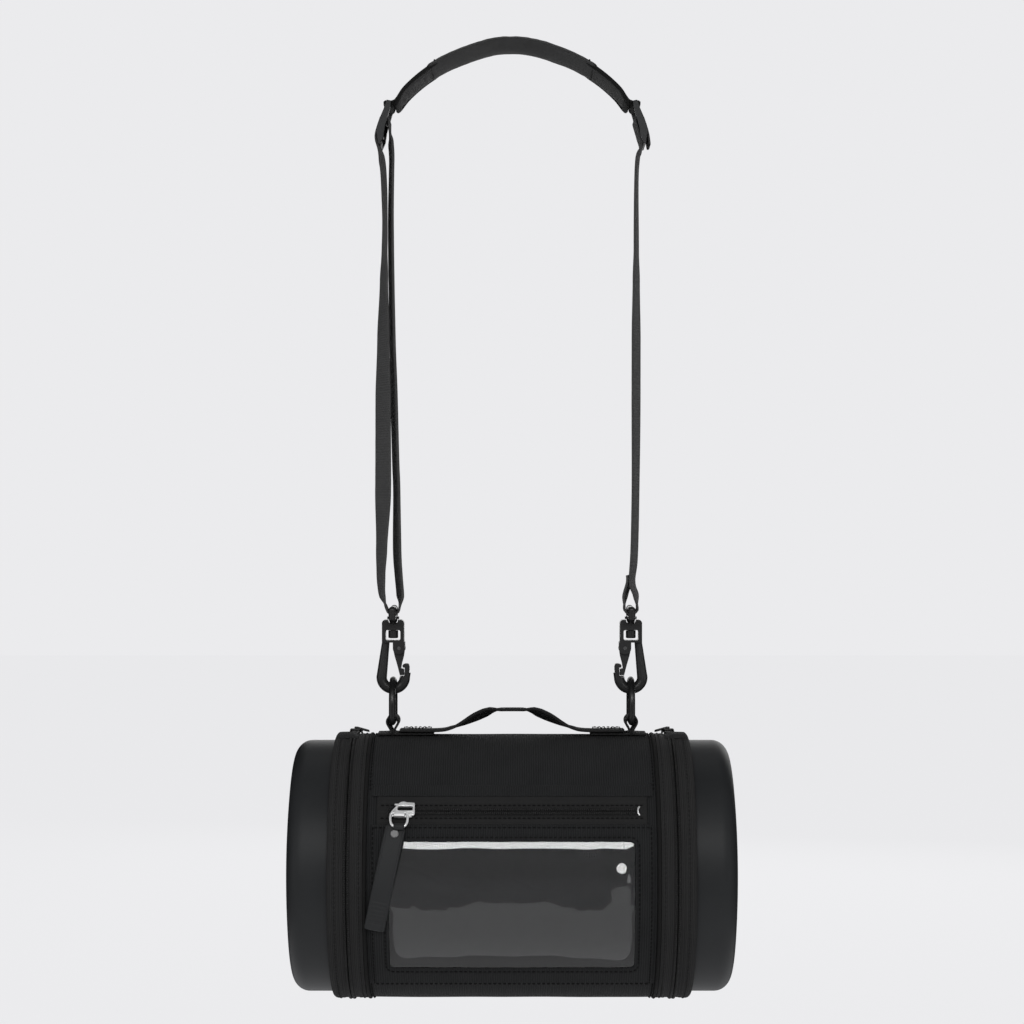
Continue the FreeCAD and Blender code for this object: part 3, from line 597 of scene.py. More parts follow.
def make_wall():
    """The foam wall in its lining."""
    end = 104.5
    inside, outside = 81.8, 85.55
    lining = fine_outline([(-end, 82.4), (-end + 0.6, inside), (end - 0.6, inside), (end, 82.4),
                           (end, 85.2), (end - 0.6, outside), (-end + 0.6, outside), (-end, 85.2)],
                          3.0)

    def slack(x, r, a):
        if r > 82.0:
            return 0.0, 0.0
        return 0.0, 0.25 * wobble(x * 0.7, a * 1.6, 5, 16) + 0.1
    wall = turned_piece("wall_lining", lining, "lining", "bag", "lining",
                        ["body_foam", "body_lining"], slack, 180)


def make_body_stitches():
    """The seams at both ends of the woven body and the double seam on its underside."""
    rows = []
    for x in (-90.6, 90.6):
        rows += barrel_row(x, R_SHELL - 0.05, 143.0, 409.0)
    for a in (180.0, 183.0):
        rows += length_row(-87, 87, R_SHELL - 0.1, a)
    stitches("body_stitches", rows, "bag")


def make_piping(side, s):
    """The bound cord between the body and the end band."""
    outline = []
    for k in range(16):
        t = 2 * math.pi * k / 16
        outline.append((s * PIPING_X + 1.15 * math.cos(t), 86.75 + 1.05 * math.sin(t)))

    def ripple(x, r, a):
        return 0.10 * wobble(a * 3, s * 7, 0, 9), 0.12 * wobble(a * 3, s * 13, 0, 8)
    turned_piece(side + "_piping_cord", outline, "binding", "bag", "binding",
                 [side + "_piping"], ripple)


# ---- end bands, zips and caps -----------------------------------------------------------------

def band_ripple(x, r, a):
    return 0.0, 0.10 * wobble(a * 1.5, x * 2, 0, 11) + 0.05 * math.sin(math.radians(a) * 150)


def make_bands(side, s):
    """Band and zip tape on the body side and on the cap side, each one folded strip."""
    def sided(points):
        return [(s * x, r) for x, r in points]
    inner = [(94.5, 85.7), (94.5, 86.7), (95.0, 87.05), (97.0, 86.9), (99.6, 87.1), (100.2, 87.0),
             (100.4, 86.8), (104.6, 86.75), (104.8, 86.4), (104.8, 85.75)]
    bend = 3.5
    curve = [(113.9 + bend * math.sin(t * math.pi / 16), 83.75 + bend * math.cos(t * math.pi / 16))
             for t in range(0, 9)]
    outer = [(105.2, 85.95), (105.2, 86.4), (105.4, 86.75), (109.6, 86.8), (109.8, 87.0),
             (110.4, 87.1), (112.6, 86.95)] + curve + [(117.4, 82.8), (107.1, 82.8), (107.1, 85.95)]
    lid = side + "_lid"
    for outline, name, body, old in ((inner, "_band_body_side", "bag", "_band_inner"),
                                     (outer, "_band_cap_side", lid, "_band_outer")):
        turned_piece(side + name, sided(fine_outline(outline, 0.9)), "band", body, "band_fabric",
                     [side + old], band_ripple)
    for name, x, radius, body in (("_band_stitches", 97.0, 86.86, "bag"),
                                  ("_lid_stitches", 112.6, 87.0, lid)):
        stitches(side + name, barrel_row(s * x, radius, -20, 340), body, material="band_thread")


def coil_mesh(name, place, turns, half_width, height, wire):
    """A zip coil: a flattened helix. place(t, across, up) maps turns and mm to a point."""
    points, sides = 8, 6
    total = turns * points
    centre = []
    for k in range(total + 1):
        phase = 2 * math.pi * k / points
        centre.append(place(k / points, half_width * math.cos(phase),
                            height / 2 * (1 + math.sin(phase))))
    line = []
    for k, c in enumerate(centre):
        along = (centre[min(total, k + 1)] - centre[max(0, k - 1)]).normalized()
        out = along.orthogonal().normalized()
        if line:
            previous = line[-1][1]
            out = (previous - along * previous.dot(along)).normalized()
        line.append((c, out, along.cross(out)))

    def point(i, j):
        c, out, side = line[i]
        a = 2 * math.pi * j / sides
        return c + (out * math.cos(a) + side * math.sin(a)) * wire * 0.001
    return grid(name, total, sides, point, closed_cols=True)


def make_end_zip(side, s):
    """The two halves of the coil round each end."""
    a0, a1 = END_ZIP_A
    pitch = 1.45
    middle_r = 87
    turns = int(math.radians(a1 - a0) * middle_r / pitch)
    for sign, body, old in ((-1, "bag", "_coil_inner"), (1, side + "_lid", "_coil_outer")):
        middle = s * (CHAIN_X + sign * 1.15)

        def place(t, across, up, middle=middle):
            return on_barrel(middle + across, 86.75 + up, a0 + (a1 - a0) * t / turns)
        mesh = coil_mesh(side + "_zip_half_" + body, place, turns, 0.62, 0.85, 0.36)
        piece(side + ("_teeth_body" if sign < 0 else "_teeth_lid"), mesh, "coil", body, "zip_coil",
              [side + old])


def cap_outline(depth, fillet, start=CAP_X[0], gap=0.0):
    """Half outline of the cap's dome, depth mm under its outside and gap mm more at its face, as
    (x, radius) pairs from its open edge to its middle."""
    radius, bend = R_CAP - depth, CAP_X[1] - depth - gap - fillet
    points = [(start + (bend - start) * k / 8, radius) for k in range(8)]
    for k in range(25):
        t = math.radians(90 - 78 * k / 24)
        points.append((bend + fillet * math.cos(t), radius - fillet + fillet * math.sin(t)))
    edge_x, edge_r = points[-1]
    for k in range(1, 25):
        r = edge_r * (1 - k / 24) + 0.02
        points.append((edge_x + CAP_DOME * (1 - (r / edge_r) ** 2), r))
    return points


def close_middle(mesh):
    """Draw each ring round the axis of a turned piece together into one point."""
    bm = bmesh.new()
    bm.from_mesh(mesh)
    bmesh.ops.remove_doubles(bm, verts=bm.verts, dist=0.00006)
    bmesh.ops.delete(bm, geom=[e for e in bm.edges if not e.link_faces], context="EDGES")
    bm.to_mesh(mesh)
    bm.free()


def make_cap(side, s):
    """The moulded cap and the lining glued inside it."""
    wall = 2.5
    inner_fillet = CAP_FILLET - wall
    shell = cap_outline(0.0, CAP_FILLET) + cap_outline(wall, inner_fillet)[::-1]
    start = CAP_X[0] + 0.2
    lining = cap_outline(wall + 0.05, inner_fillet, start, 0.05)
    lining += cap_outline(wall + 0.7, inner_fillet - 0.7, start)[::-1]
    for outline, name, look, slot, old, steps in (
            (shell, "_cap_shell", "cap", "moulded_cap", "_cap", 256),
            (lining, "_cap_cloth", "lining", "lining", "_cap_lining", 180)):
        obj = turned_piece(side + name, [(s * x, r) for x, r in outline], look, side + "_lid", slot,
                           [side + old], steps=steps)
        close_middle(obj.data)


def make_fabric_hinge(side, s):
    """The strip of band cloth that carries the cap, over both halves of the band."""
    near, far = HINGE_X
    top, steps, half = 88.0, 60, 9
    wide = (far - near) / (2 * half)
    outline = [(s * (near + wide * k), top - 0.35 * (abs(k - half) / half) ** 6)
               for k in range(2 * half + 1)]
    outline += [(s * (far - wide * k), 87.35) for k in range(2 * half + 1)]

    def place(i, x, r):
        return on_barrel(x, r, HINGE_AT - HINGE_HALF + 2 * HINGE_HALF * i / steps)
    name = side + "_fabric_hinge"
    mesh = closed_profile(name, steps, outline, place, 1.2, closed=False)
    obj = piece(name, mesh, "band", None, "band_fabric",
                [side + "_hinge_strip", side + "_hinge_flap"])
    # points 2.5 mm on each side of the parting plane, computed but not used
    on_barrel(s * 102.5, top, HINGE_AT)
    on_barrel(s * 107.5, top, HINGE_AT)
    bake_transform(obj)


make_shell()
make_wall()
make_body_stitches()
for side, s in SIDES:
    make_piping(side, s)
    make_bands(side, s)
    make_end_zip(side, s)
    make_cap(side, s)
    make_fabric_hinge(side, s)


# ---- front pocket -----------------------------------------------------------------------------

R_FRONT = 88.5             # outside of the pocket's front
FRONT_X = 89.4             # half width of the front
FRONT_A = (65.1, 142.1)    # angles of its upper and lower edge
WIN_X = 77.8               # half width of the window
WIN_A = (72.4, 130.2)
WIN_MID = (WIN_A[0] + WIN_A[1]) / 2 * DEG
WIN_HALF = (WIN_A[1] - WIN_A[0]) / 2 * DEG
ZIP_A = 59.4               # angle of the pocket zip
SLIDER_X = -69.9
RING_X = -71.5
RING_R = 92.5              # distance of the ring's wire from the axis
RING_LOW = -12.5           # its lowest point, below the zip


def rounded_rectangle(x, low, high, radius, count):
    """Points round a rectangle of half width x between two heights, all in mm."""
    mid, half = (low + high) / 2, (high - low) / 2
    corners = [(x - radius, half - radius, 0), (-x + radius, half - radius, 90),
               (-x + radius, -half + radius, 180), (x - radius, -half + radius, 270)]
    path = []
    for cx, cy, turn in corners:
        for k in range(13):
            t = math.radians(turn + 90 * k / 12)
            path.append((cx + radius * math.cos(t), mid + cy + radius * math.sin(t)))
    lengths = [0.0]
    for k, p in enumerate(path):
        q = path[(k + 1) % len(path)]
        lengths.append(lengths[-1] + math.hypot(q[0] - p[0], q[1] - p[1]))
    out = []
    k = 0
    for i in range(count):
        want = lengths[-1] * i / count
        while lengths[k + 1] < want:
            k += 1
        a, b = path[k], path[(k + 1) % len(path)]
        t = (want - lengths[k]) / max(1e-9, lengths[k + 1] - lengths[k])
        out.append((a[0] + (b[0] - a[0]) * t, a[1] + (b[1] - a[1]) * t))
    return out


def frame_edge(x, y):
    """A slight wander of the window's cut edge, in mm."""
    return 0.35 * wobble(x, y, 0, 23)


def make_pocket_front():
    """The pocket's front: cloth with a turned hem round the window."""
    count = 320
    inner = rounded_rectangle(WIN_X, WIN_A[0] * DEG, WIN_A[1] * DEG, 3.6, count)
    outer = []
    for x, y in inner:
        # straight out from each edge, and fanning out at the corners
        at_side = ramp(abs(x), WIN_X - 6, WIN_X - 0.5)
        at_end = ramp(abs(y - WIN_MID), WIN_HALF - 6, WIN_HALF - 0.5)
        edge = FRONT_A[1 if y > WIN_MID else 0] * DEG
        outer.append((x + (math.copysign(FRONT_X, x) - x) * at_side, y + (edge - y) * at_end))
    steps = 26

    def surface(i, j):
        """Place and radius at column j, which goes out along the face and back underneath."""
        share = max(0, min(j, 2 * steps + 1 - j)) / steps
        (x0, y0), (x1, y1) = inner[i % count], outer[i % count]
        x0 += frame_edge(x0, y0) * math.copysign(1, x0)
        y0 += frame_edge(y0, x0)
        x, y = x0 + (x1 - x0) * share, y0 + (y1 - y0) * share
        far = math.hypot(x - x0, y - y0)
        near = math.hypot(x1 - x, y1 - y)
        r = R_FRONT + 0.18 * wobble(x, y, 2, 20)
        r -= 0.9 * math.exp(-far / 0.5) + 0.7 * math.exp(-near / 0.8)
        r -= 0.28 * math.exp(-((far - 2.6) / 0.7) ** 2)
        r += 0.12 * math.sin(x * 1.1 + y * 1.3) * math.exp(-((far - 3.4) / 2.5) ** 2)
        return x, y, r

    def point(i, j):
        x, y, r = surface(i, j)
        if j > steps:
            r = 87.25 if r > 87.3 else r - 0.02
        return on_barrel(x, r, y / DEG)

    def cloth_map(i, j):
        return surface(i, j)[:2]
    mesh = grid("pocket_front_cloth", count, 2 * steps + 2, point, cloth_map, closed_rows=True,
                closed_cols=True)
    mend(mesh)
    piece("pocket_front_cloth", mesh, "woven", "bag", "woven_fabric", ["pocket_front"])


make_pocket_front()


def film_height(x, y):
    """How far the clear sheet stands out from the barrel, in mm, x and y in mm from its middle."""
    wave = -0.05 * y * math.exp(-(y / 14) ** 2) * math.cos(x / 17.5)
    near_edge = math.exp(-((y + 9) / 8) ** 2)
    wave += 0.12 * wobble(abs(x), y * 1.2, 7, 24) + 0.22 * wobble(abs(x), y, 3, 7) * near_edge
    crown = 0.15 * math.exp(-((y + 37) / 6.0) ** 2) * (1 + 0.9 * wobble(x, 0, 0, 17))
    # a small bulge near the right corner, which catches the top light once more
    corner = 2.4 * math.exp(-((x - 69.5) / 7.5) ** 2 - ((y + 19) / 9.0) ** 2)
    return wave + crown + corner


def window_grid(name, half_x, half_y, rows, radius, thick, offset, **look):
    """A sheet laid over the window. radius(x, v) is how far it lies from the axis, x and v mm
    from its middle."""
    cols = 150

    def place(i, j):
        return -half_x + 2 * half_x * j / cols, -half_y + 2 * half_y * i / rows

    def point(i, j):
        x, v = place(i, j)
        return on_barrel(x, radius(x, v), (WIN_MID + v) / DEG)

    def cloth_map(i, j):
        x, v = place(i, j)
        return (x + half_x, v + half_y)
    obj = piece(name, grid(name, rows, cols, point, cloth_map), body="bag", **look)
    solid = obj.modifiers.new("thickness", "SOLIDIFY")
    solid.thickness = thick * 0.001
    solid.offset = offset
    return obj


def make_backing():
    """The cloth that shows through the window, with the shallow folds it lies in."""
    half_x, half_y = WIN_X + 6.0, WIN_HALF + 4.0 * DEG

    def radius(x, v):
        fold = wobble(abs(x) * 0.7 + 6, v * 1.3 + 7 * wobble(abs(x), v, 3, 30), 0, 12)
        ridge = max(0.0, 1 - abs(v + 22 - 8 * math.sin(abs(x) / 16.0)) / 3.0) ** 2
        upper = 1 - ramp(v, -8, 3)
        edge = ramp(half_x - abs(x), 4, 12) * ramp(half_y - abs(v), 3, 9)
        return 86.7 + edge * upper * (0.7 * fold + 0.5 * ridge - 0.6)
    obj = window_grid("pocket_backing", half_x, half_y, 90, radius, 0.3, -1.0,
                      material="backing", slot="lining")


def make_window():
    """The clear sheet, slack and faintly wavy between its seams."""
    def radius(x, v):
        from_side, from_end = WIN_X + 0.5 - abs(x), WIN_HALF - abs(v)
        rise = 0.42 * ramp(from_side, 0, 9) * ramp(from_end, 0, 25)
        rise *= 0.5 + 0.5 * ramp(x, -75, -25)
        return 87.1 + rise + film_height(x, v) * ramp(from_side, 0, 7) * ramp(from_end, -2, 4)
    obj = window_grid("window_film", WIN_X + 4.5, WIN_HALF + 3.0 * DEG, 110, radius, 0.4, 0.0,
                      material="film", slot="clear_sheet", replaces=["pocket_window"])


make_backing()
make_window()


def make_pocket_tape():
    """The zip's tape, one flat strip."""
    half_x, steps = 86.0, 120
    low_a, high_a = 51.6, 65.9

    def place(i, a, b):
        x = -half_x + 2 * half_x * i / steps
        lift = 0.05 * wobble(x, a, low_a, 14)
        return on_barrel(x, 87.2 + b + lift, (low_a + high_a) / 2 + a / DEG)
    outline = rounded_strip((high_a - low_a) * DEG, 0.5, 5, 12)
    mesh = closed_profile("pocket_zip_tape", steps, outline, place, 2 * half_x / steps, closed=False)
    piece("pocket_zip_tape", mesh, "zip_tape", "bag", "zip_tape", ["pocket_tape"])


def make_pocket_fold():
    """The fold of body cloth over the zip's upper edge."""
    half_x, steps = 89.6, 150
    fold = [(44.5, 86.35), (47.0, 86.8), (49.0, 87.3), (50.5, 87.75), (51.6, 88.0), (52.2, 87.9),
            (52.4, 87.7), (52.2, 87.5), (50.0, 86.8), (47.0, 86.2)]

    def place(i, y, r):
        x = -half_x + 2 * half_x * i / steps
        return on_barrel(x, r + 0.1 * wobble(x, r, 4, 13) * ramp(y, 47 * DEG, 50 * DEG), y / DEG)
    mesh = closed_profile("pocket_fold", steps, [(a * DEG, r) for a, r in fold], place,
                          2 * half_x / steps, closed=False)
    for loop in mesh.uv_layers["cloth"].data:
        loop.uv = (loop.uv[1] - half_x, loop.uv[0])
    piece("pocket_fold", mesh, "woven", "bag", "woven_fabric", ["pocket_welt"])


def make_pocket_coil():
    """Both halves of the coil, which lie closed."""
    half_x, pitch = 79.0, 1.3
    turns = int(2 * half_x / pitch)
    for sign, name, old in ((-1, "pocket_teeth_upper", ["pocket_coil"]),
                            (1, "pocket_teeth_lower", [])):
        def place(t, across, up, sign=sign):
            return on_barrel(-half_x + t * pitch, 87.7 + up, ZIP_A + (sign * 1.25 + across) / DEG)
        piece(name, coil_mesh(name, place, turns, 0.95, 0.95, 0.38), "coil", "bag", "zip_coil", old)


def make_pocket_stitches():
    """The seams along the tape, round the pocket's front and round its window."""
    rows = []
    for half_x, radius, angle in ((84, 87.5, ZIP_A - 2.9), (84, 87.5, ZIP_A + 2.9),
                                  (88, R_FRONT, 66.6), (88, R_FRONT, 140.8)):
        rows += length_row(-half_x, half_x, radius, angle)
    for x in (-88.3, 88.3):
        rows += barrel_row(x, R_FRONT, 66, 141)
    count = 400
    hem = rounded_rectangle(WIN_X + 2.6, WIN_A[0] * DEG - 2.6, WIN_A[1] * DEG + 2.6, 5.5, count + 1)

    def round_window(t):
        k = int(t * count)
        part = t * count - k
        (x, y), (nx, ny) = hem[min(count, k)], hem[min(count, k + 1)]
        a = (y + (ny - y) * part) / DEG
        return on_barrel(x + (nx - x) * part, R_FRONT - 0.25, a), outwards(a)
    rows += row_of_stitches(round_window)
    stitches("pocket_stitches", rows, "bag")


make_pocket_tape()
make_pocket_fold()
make_pocket_coil()
make_pocket_stitches()

# ---- hardware of the pocket zip -----------------------------------------------------------------

class Place:
    """A local frame on the barrel: x along it, y up the surface towards its top, z outwards."""

    def __init__(self, x, radius, angle):
        self.origin = on_barrel(x, radius, angle)
        self.out = outwards(angle).normalized()
        self.x = Vector((1, 0, 0))
        self.up = self.out.cross(self.x)

    def __call__(self, x, y, z):
        return self.origin + (self.x * x + self.up * y + self.out * z) * 0.001


def bevelled_plate(outline, low, high, place, bevel):
    """A plate from an (x, y) outline between two heights, with its edges rounded, as a bmesh."""
    bm = bmesh.new()
    base = bm.faces.new([bm.verts.new((x, y, low)) for x, y in outline])
    rise = bmesh.ops.extrude_face_region(bm, geom=[base])
    moved = [v for v in rise["geom"] if isinstance(v, bmesh.types.BMVert)]
    bmesh.ops.translate(bm, verts=moved, vec=(0, 0, high - low))
    bmesh.ops.recalc_face_normals(bm, faces=bm.faces)
    bmesh.ops.bevel(bm, geom=bm.edges[:], offset=bevel, segments=2, profile=0.6,
                    affect="EDGES", clamp_overlap=True)
    for v in bm.verts:
        v.co = place(*v.co)
    return bm


def circle(radius, count):
    """Points round a circle, as pairs."""
    return [(radius * math.cos(2 * math.pi * k / count), radius * math.sin(2 * math.pi * k / count))
            for k in range(count)]


def wire_mesh(name, points, radius, step=0.5):
    """A round wire along a smooth line through points in mm."""
    outline = circle(radius, 10)
    line = smooth_line(points, step)
    n = len(line)
    frames = []
    side = None
    for k, p in enumerate(line):
        along = (line[min(n - 1, k + 1)] - line[max(0, k - 1)]).normalized()
        side = along.orthogonal() if side is None else side - along * side.dot(along)
        side.normalize()
        frames.append((p, side.copy(), along.cross(side)))

    def place(i, a, b):
        p, one, two = frames[i]
        return (p + one * a + two * b) * 0.001
    return closed_profile(name, n - 1, outline, place, step, closed=False)


def joined(name, parts):
    """One mesh from several bmeshes or meshes."""
    whole = bmesh.new()
    for part in parts:
        if isinstance(part, bmesh.types.BMesh):
            loose = bpy.data.meshes.new("part")
            part.to_mesh(loose)
            part.free()
            part = loose
        whole.from_mesh(part)
        bpy.data.meshes.remove(part)
    mesh = bpy.data.meshes.new(name)
    whole.to_mesh(mesh)
    whole.free()
    return mesh


def evenly(outline, count):
    """A closed outline sampled at equal angles about its box's middle."""
    cx = (min(p[0] for p in outline) + max(p[0] for p in outline)) / 2
    cy = (min(p[1] for p in outline) + max(p[1] for p in outline)) / 2
    out = []
    for k in range(count):
        a = 2 * math.pi * k / count
        dx, dy = math.cos(a), math.sin(a)
        best = None
        for i, (x0, y0) in enumerate(outline):
            x1, y1 = outline[(i + 1) % len(outline)]
            det = dx * (y0 - y1) - dy * (x0 - x1)
            if abs(det) < 1e-9:
                continue
            t = ((x0 - cx) * (y0 - y1) - (y0 - cy) * (x0 - x1)) / det
            u = (dx * (y0 - cy) - dy * (x0 - cx)) / det
            if t > 0 and -1e-6 <= u <= 1 + 1e-6 and (best is None or t > best):
                best = t
        out.append((cx + dx * best, cy + dy * best))
    return out


def plate_with_hole(outer, hole, low, high, place):
    """A plate with a hole, its edges rounded, as a bmesh."""
    count = 48
    bm = bmesh.new()
    levels = []
    for z in (low, high):
        levels.append([[bm.verts.new((x, y, z)) for x, y in evenly(o, count)]
                       for o in (outer, hole)])
    (low_out, low_in), (high_out, high_in) = levels
    for k in range(count):
        n = (k + 1) % count
        for quad in ((high_out[k], high_out[n], high_in[n], high_in[k]),
                     (low_out[k], low_in[k], low_in[n], low_out[n]),
                     (low_out[k], low_out[n], high_out[n], high_out[k]),
                     (low_in[k], high_in[k], high_in[n], low_in[n])):
            bm.faces.new(quad)
    bmesh.ops.recalc_face_normals(bm, faces=bm.faces)
    rims = [e for e in bm.edges if e.calc_face_angle(0) > 0.7
            and abs(e.verts[0].co.z - e.verts[1].co.z) < 1e-6]
    bmesh.ops.bevel(bm, geom=rims, offset=0.3, segments=2, profile=0.6, affect="EDGES",
                    clamp_overlap=True)
    for v in bm.verts:
        v.co = place(*v.co)
    return bm


def slider_parts(place, outer, hole, plate_low, plate_high, half, flange_low):
    """A zip slider: an upper plate with its slot, and the flanges that hold the coils."""
    parts = [plate_with_hole(outer, hole, plate_low, plate_high, place)]
    x0, x1 = min(p[0] for p in outer) * 0.6, max(p[0] for p in outer) * 0.75
    for sign in (-1, 1):
        y0, y1 = sorted((sign * half, sign * (half - 1.0)))
        side = [(x0, y0), (x1, y0), (x1, y1), (x0, y1)]
        parts.append(bevelled_plate(side, flange_low, plate_low + 0.2, place, 0.2))
    return parts


def make_pocket_slider():
    """The slider, its wire ring and the end stop."""
    place = Place(SLIDER_X, 0.0, ZIP_A)
    wedge = [(-7.7, -3.4), (-6.9, -1.8), (-3.6, 2.5), (-0.8, 5.1), (1.2, 5.5), (3.0, 4.9),
             (7.9, 4.6), (8.2, 4.2), (8.2, -3.5), (7.9, -3.9), (3.6, -4.4), (2.2, -5.3), (-2.0, -5.4),
             (-5.5, -4.8), (-7.2, -4.1)]
    slot = [(-3.0, 0.5), (-2.2, 1.9), (6.6, 1.9), (7.0, 1.5), (7.0, -0.7), (6.6, -1.1), (-2.4, -1.1)]
    parts = slider_parts(place, wedge, slot, 89.6, 91.1, 4.6, 88.1)
    # a raised ridge runs round the slot, with the lug that holds the ring below it
    ridge = [(-4.2, 0.4), (-3.0, 3.1), (0.6, 4.3), (2.0, 3.6), (7.4, 3.3), (7.7, 3.0), (7.7, -2.1),
             (7.4, -2.4), (-3.0, -2.4)]
    parts.append(plate_with_hole(ridge, slot, 90.9, 92.0, place))
    lug = [(-5.4, -5.4), (2.2, -5.4), (1.6, -1.8), (-4.2, -1.8)]
    parts.append(bevelled_plate(lug, 90.4, 93.4, place, 0.6))
    piece("pocket_slider_body", joined("pocket_slider_body", parts), "bright", "pocket_slider",
          "bright_metal", ["pocket_slider"])
    ring = Place(RING_X, 0.0, ZIP_A)
    side = [(5.2, -3.6), (5.5, -7.0), (4.9, -10.2), (3.2, RING_LOW + 0.4)]
    path = [(-x, y) for x, y in side] + [(0, RING_LOW)] + side[::-1]
    path += [(2.6, -3.0), (-2.6, -3.0), (-5.2, -3.6)]
    points = [ring(x, y, RING_R) * 1000 for x, y in path]
    piece("pocket_ring_wire", wire_mesh("pocket_ring_wire", points, 0.8), "bright", "pocket_ring",
          "bright_metal", ["pocket_ring"])
    stop = Place(80.5, 0.0, ZIP_A)
    curve = [(0.5, -3.0), (-0.3, -1.4), (-0.5, 0.0), (-0.3, 1.4), (0.5, 3.0)]
    points = [stop(x, y, 88.9 - 0.05 * y * y) * 1000 for x, y in curve]
    piece("pocket_stop_wire", wire_mesh("pocket_stop_wire", points, 0.5), "bright", "bag",
          "bright_metal", ["pocket_stop"])


PULL_R = 89.9              # back of the pull
PULL_HALF = 6.5
PULL_THICK = 2.5
PULL_CORNER = 2.2
PULL_EDGE = 0.8            # radius of its rounded edges
PULL_TOP = Vector((-73.4, 0, -504.0))
PULL_LINE = Vector((-87.2, 0, -569.9)) - PULL_TOP
GROOVES = 6


def pull_height(t, s):
    """Outside over the pull's back: t mm from the top, s mm from the middle line."""
    length = PULL_LINE.length
    rim = ramp(abs(s), PULL_HALF - 1.7, PULL_HALF - 1.1)
    h = PULL_THICK - 0.55 * (1 - rim)
    groove = max(math.exp(-((t - (length - 5.0 - 2.6 * k)) / 0.55) ** 2) for k in range(GROOVES))
    h += 0.5 * groove * (1 - rim)
    for d in (PULL_HALF - abs(s), min(t, length - t)):
        if d < PULL_EDGE:
            h -= PULL_EDGE - math.sqrt(max(0.0, PULL_EDGE ** 2 - (PULL_EDGE - d) ** 2))
    return h


def pull_half_width(t):
    """The pull's plan has round corners."""
    d = min(t, PULL_LINE.length - t)
    if d >= PULL_CORNER:
        return PULL_HALF
    return PULL_HALF - PULL_CORNER + math.sqrt(max(0.0, PULL_CORNER ** 2 - (PULL_CORNER - d) ** 2))


def pull_plate():
    """The pull's long plate, which lies against the barrel: raised rim and finger grooves."""
    along = PULL_LINE.normalized()
    across = Vector((-along.z, 0, along.x))
    rows, cols = 120, 26

    def point(i, j):
        t = PULL_LINE.length * i / rows
        k = j if j <= cols else 2 * cols + 1 - j
        wide = pull_half_width(t)
        s = -wide + 2 * wide * k / cols
        r = PULL_R + (pull_height(t, s * PULL_HALF / max(wide, 0.1)) if j <= cols else 0.0)
        p = PULL_TOP + along * t + across * s
        a = math.acos(max(-1.0, min(1.0, (p.z - BAG_Z) / r)))
        return mm(p.x, -r * math.sin(a), p.z)

    def cloth_map(i, j):
        return (i * 0.5, j * 0.5)
    mesh = grid("rubber_pull", rows, 2 * cols + 2, point, cloth_map, closed_cols=True)
    mend(mesh, weld=0.00001, fill=True)
    return mesh


def pull_eye():
    """The roll that wraps the ring's lower wire, as a bmesh."""
    bar = Place(RING_X, 0.0, ZIP_A)(0, RING_LOW, RING_R) * 1000
    section = circle(2.2, 20)
    count = len(section)
    roll = bmesh.new()
    rings = []
    for x in (-3.4, -3.0, 0.0, 3.0, 3.4):
        shrink = 0.8 if abs(x) > 3.1 else 1.0
        rings.append([roll.verts.new((bar + Vector((x, -y * shrink, z * shrink))) * 0.001)
                      for y, z in section])
    for one, two in zip(rings, rings[1:]):
        for k in range(count):
            roll.faces.new((one[k], one[(k + 1) % count], two[(k + 1) % count], two[k]))
    roll.faces.new(rings[0][::-1])
    roll.faces.new(rings[-1])
    bmesh.ops.recalc_face_normals(roll, faces=roll.faces)
    return roll


make_pocket_slider()
piece("rubber_pull", joined("rubber_pull_mesh", [pull_plate(), pull_eye()]), "rubber",
      "pocket_pull", "black_rubber", ["pocket_pull"])


# ---- webbing ------------------------------------------------------------------------------------

BUCKLE_TOP = (-81.3, -33.7)        # x and z of the left buckle's upper end
BUCKLE_DOWN = (-0.2054, -0.9787)   # its direction, upper end to lower end
TOP_BAR = (0.0, 1.8)       # its bars, in its own directions outwards and down
MID_BAR = (0.6, 12.5)
BUCKLE_TURN = 2.7          # webbing's centre line round a buckle's bar
EYE_BAR = (-HANG_X, -369.0)
EYE_TURN = 4.4             # the same round the hook's eye
STRAP_WIDE = 25.0
Y_WIDE = Vector((0, 1, 0))


def on_buckle(out, down):
    """A point in the left buckle's own directions, as (x, z)."""
    dx, dz = BUCKLE_DOWN
    return (BUCKLE_TOP[0] + down * dx + out * dz, BUCKLE_TOP[1] + down * dz - out * dx)


def arc_xz(centre, radius, first, last, steps=10):
    """Points on a circle in the XZ plane, degrees from +X towards +Z."""
    out = []
    for k in range(steps + 1):
        a = math.radians(first + (last - first) * k / steps)
        out.append((centre[0] + radius * math.cos(a), centre[1] + radius * math.sin(a)))
    return out


def round_buckle(bar, first, last):
    """The webbing round one of the buckle's bars, 0 degrees outwards and 90 upwards."""
    turn = arc_xz(bar, BUCKLE_TURN, first, last, 8)
    return [on_buckle(out, 2 * bar[1] - up) for out, up in turn]


def in_xz(points, mirror=1):
    """(x, z) pairs as points at y = 0, mirrored when mirror is -1."""
    return [(mirror * x, 0, z) for x, z in points]


def turned_about_z(profile):
    """The webbing's width direction by height: profile is (z, degrees) pairs from the top down."""
    def across(p):
        before = profile[0]
        angle = before[1]
        for now in profile[1:]:
            if before[0] >= p.z >= now[0]:
                t = ramp(p.z, now[0], before[0])
                angle = now[1] + (before[1] - now[1]) * t
            before = now
        if p.z < profile[-1][0]:
            angle = profile[-1][1]
        return Matrix.Rotation(math.radians(angle), 3, "Z") @ Y_WIDE
    return across


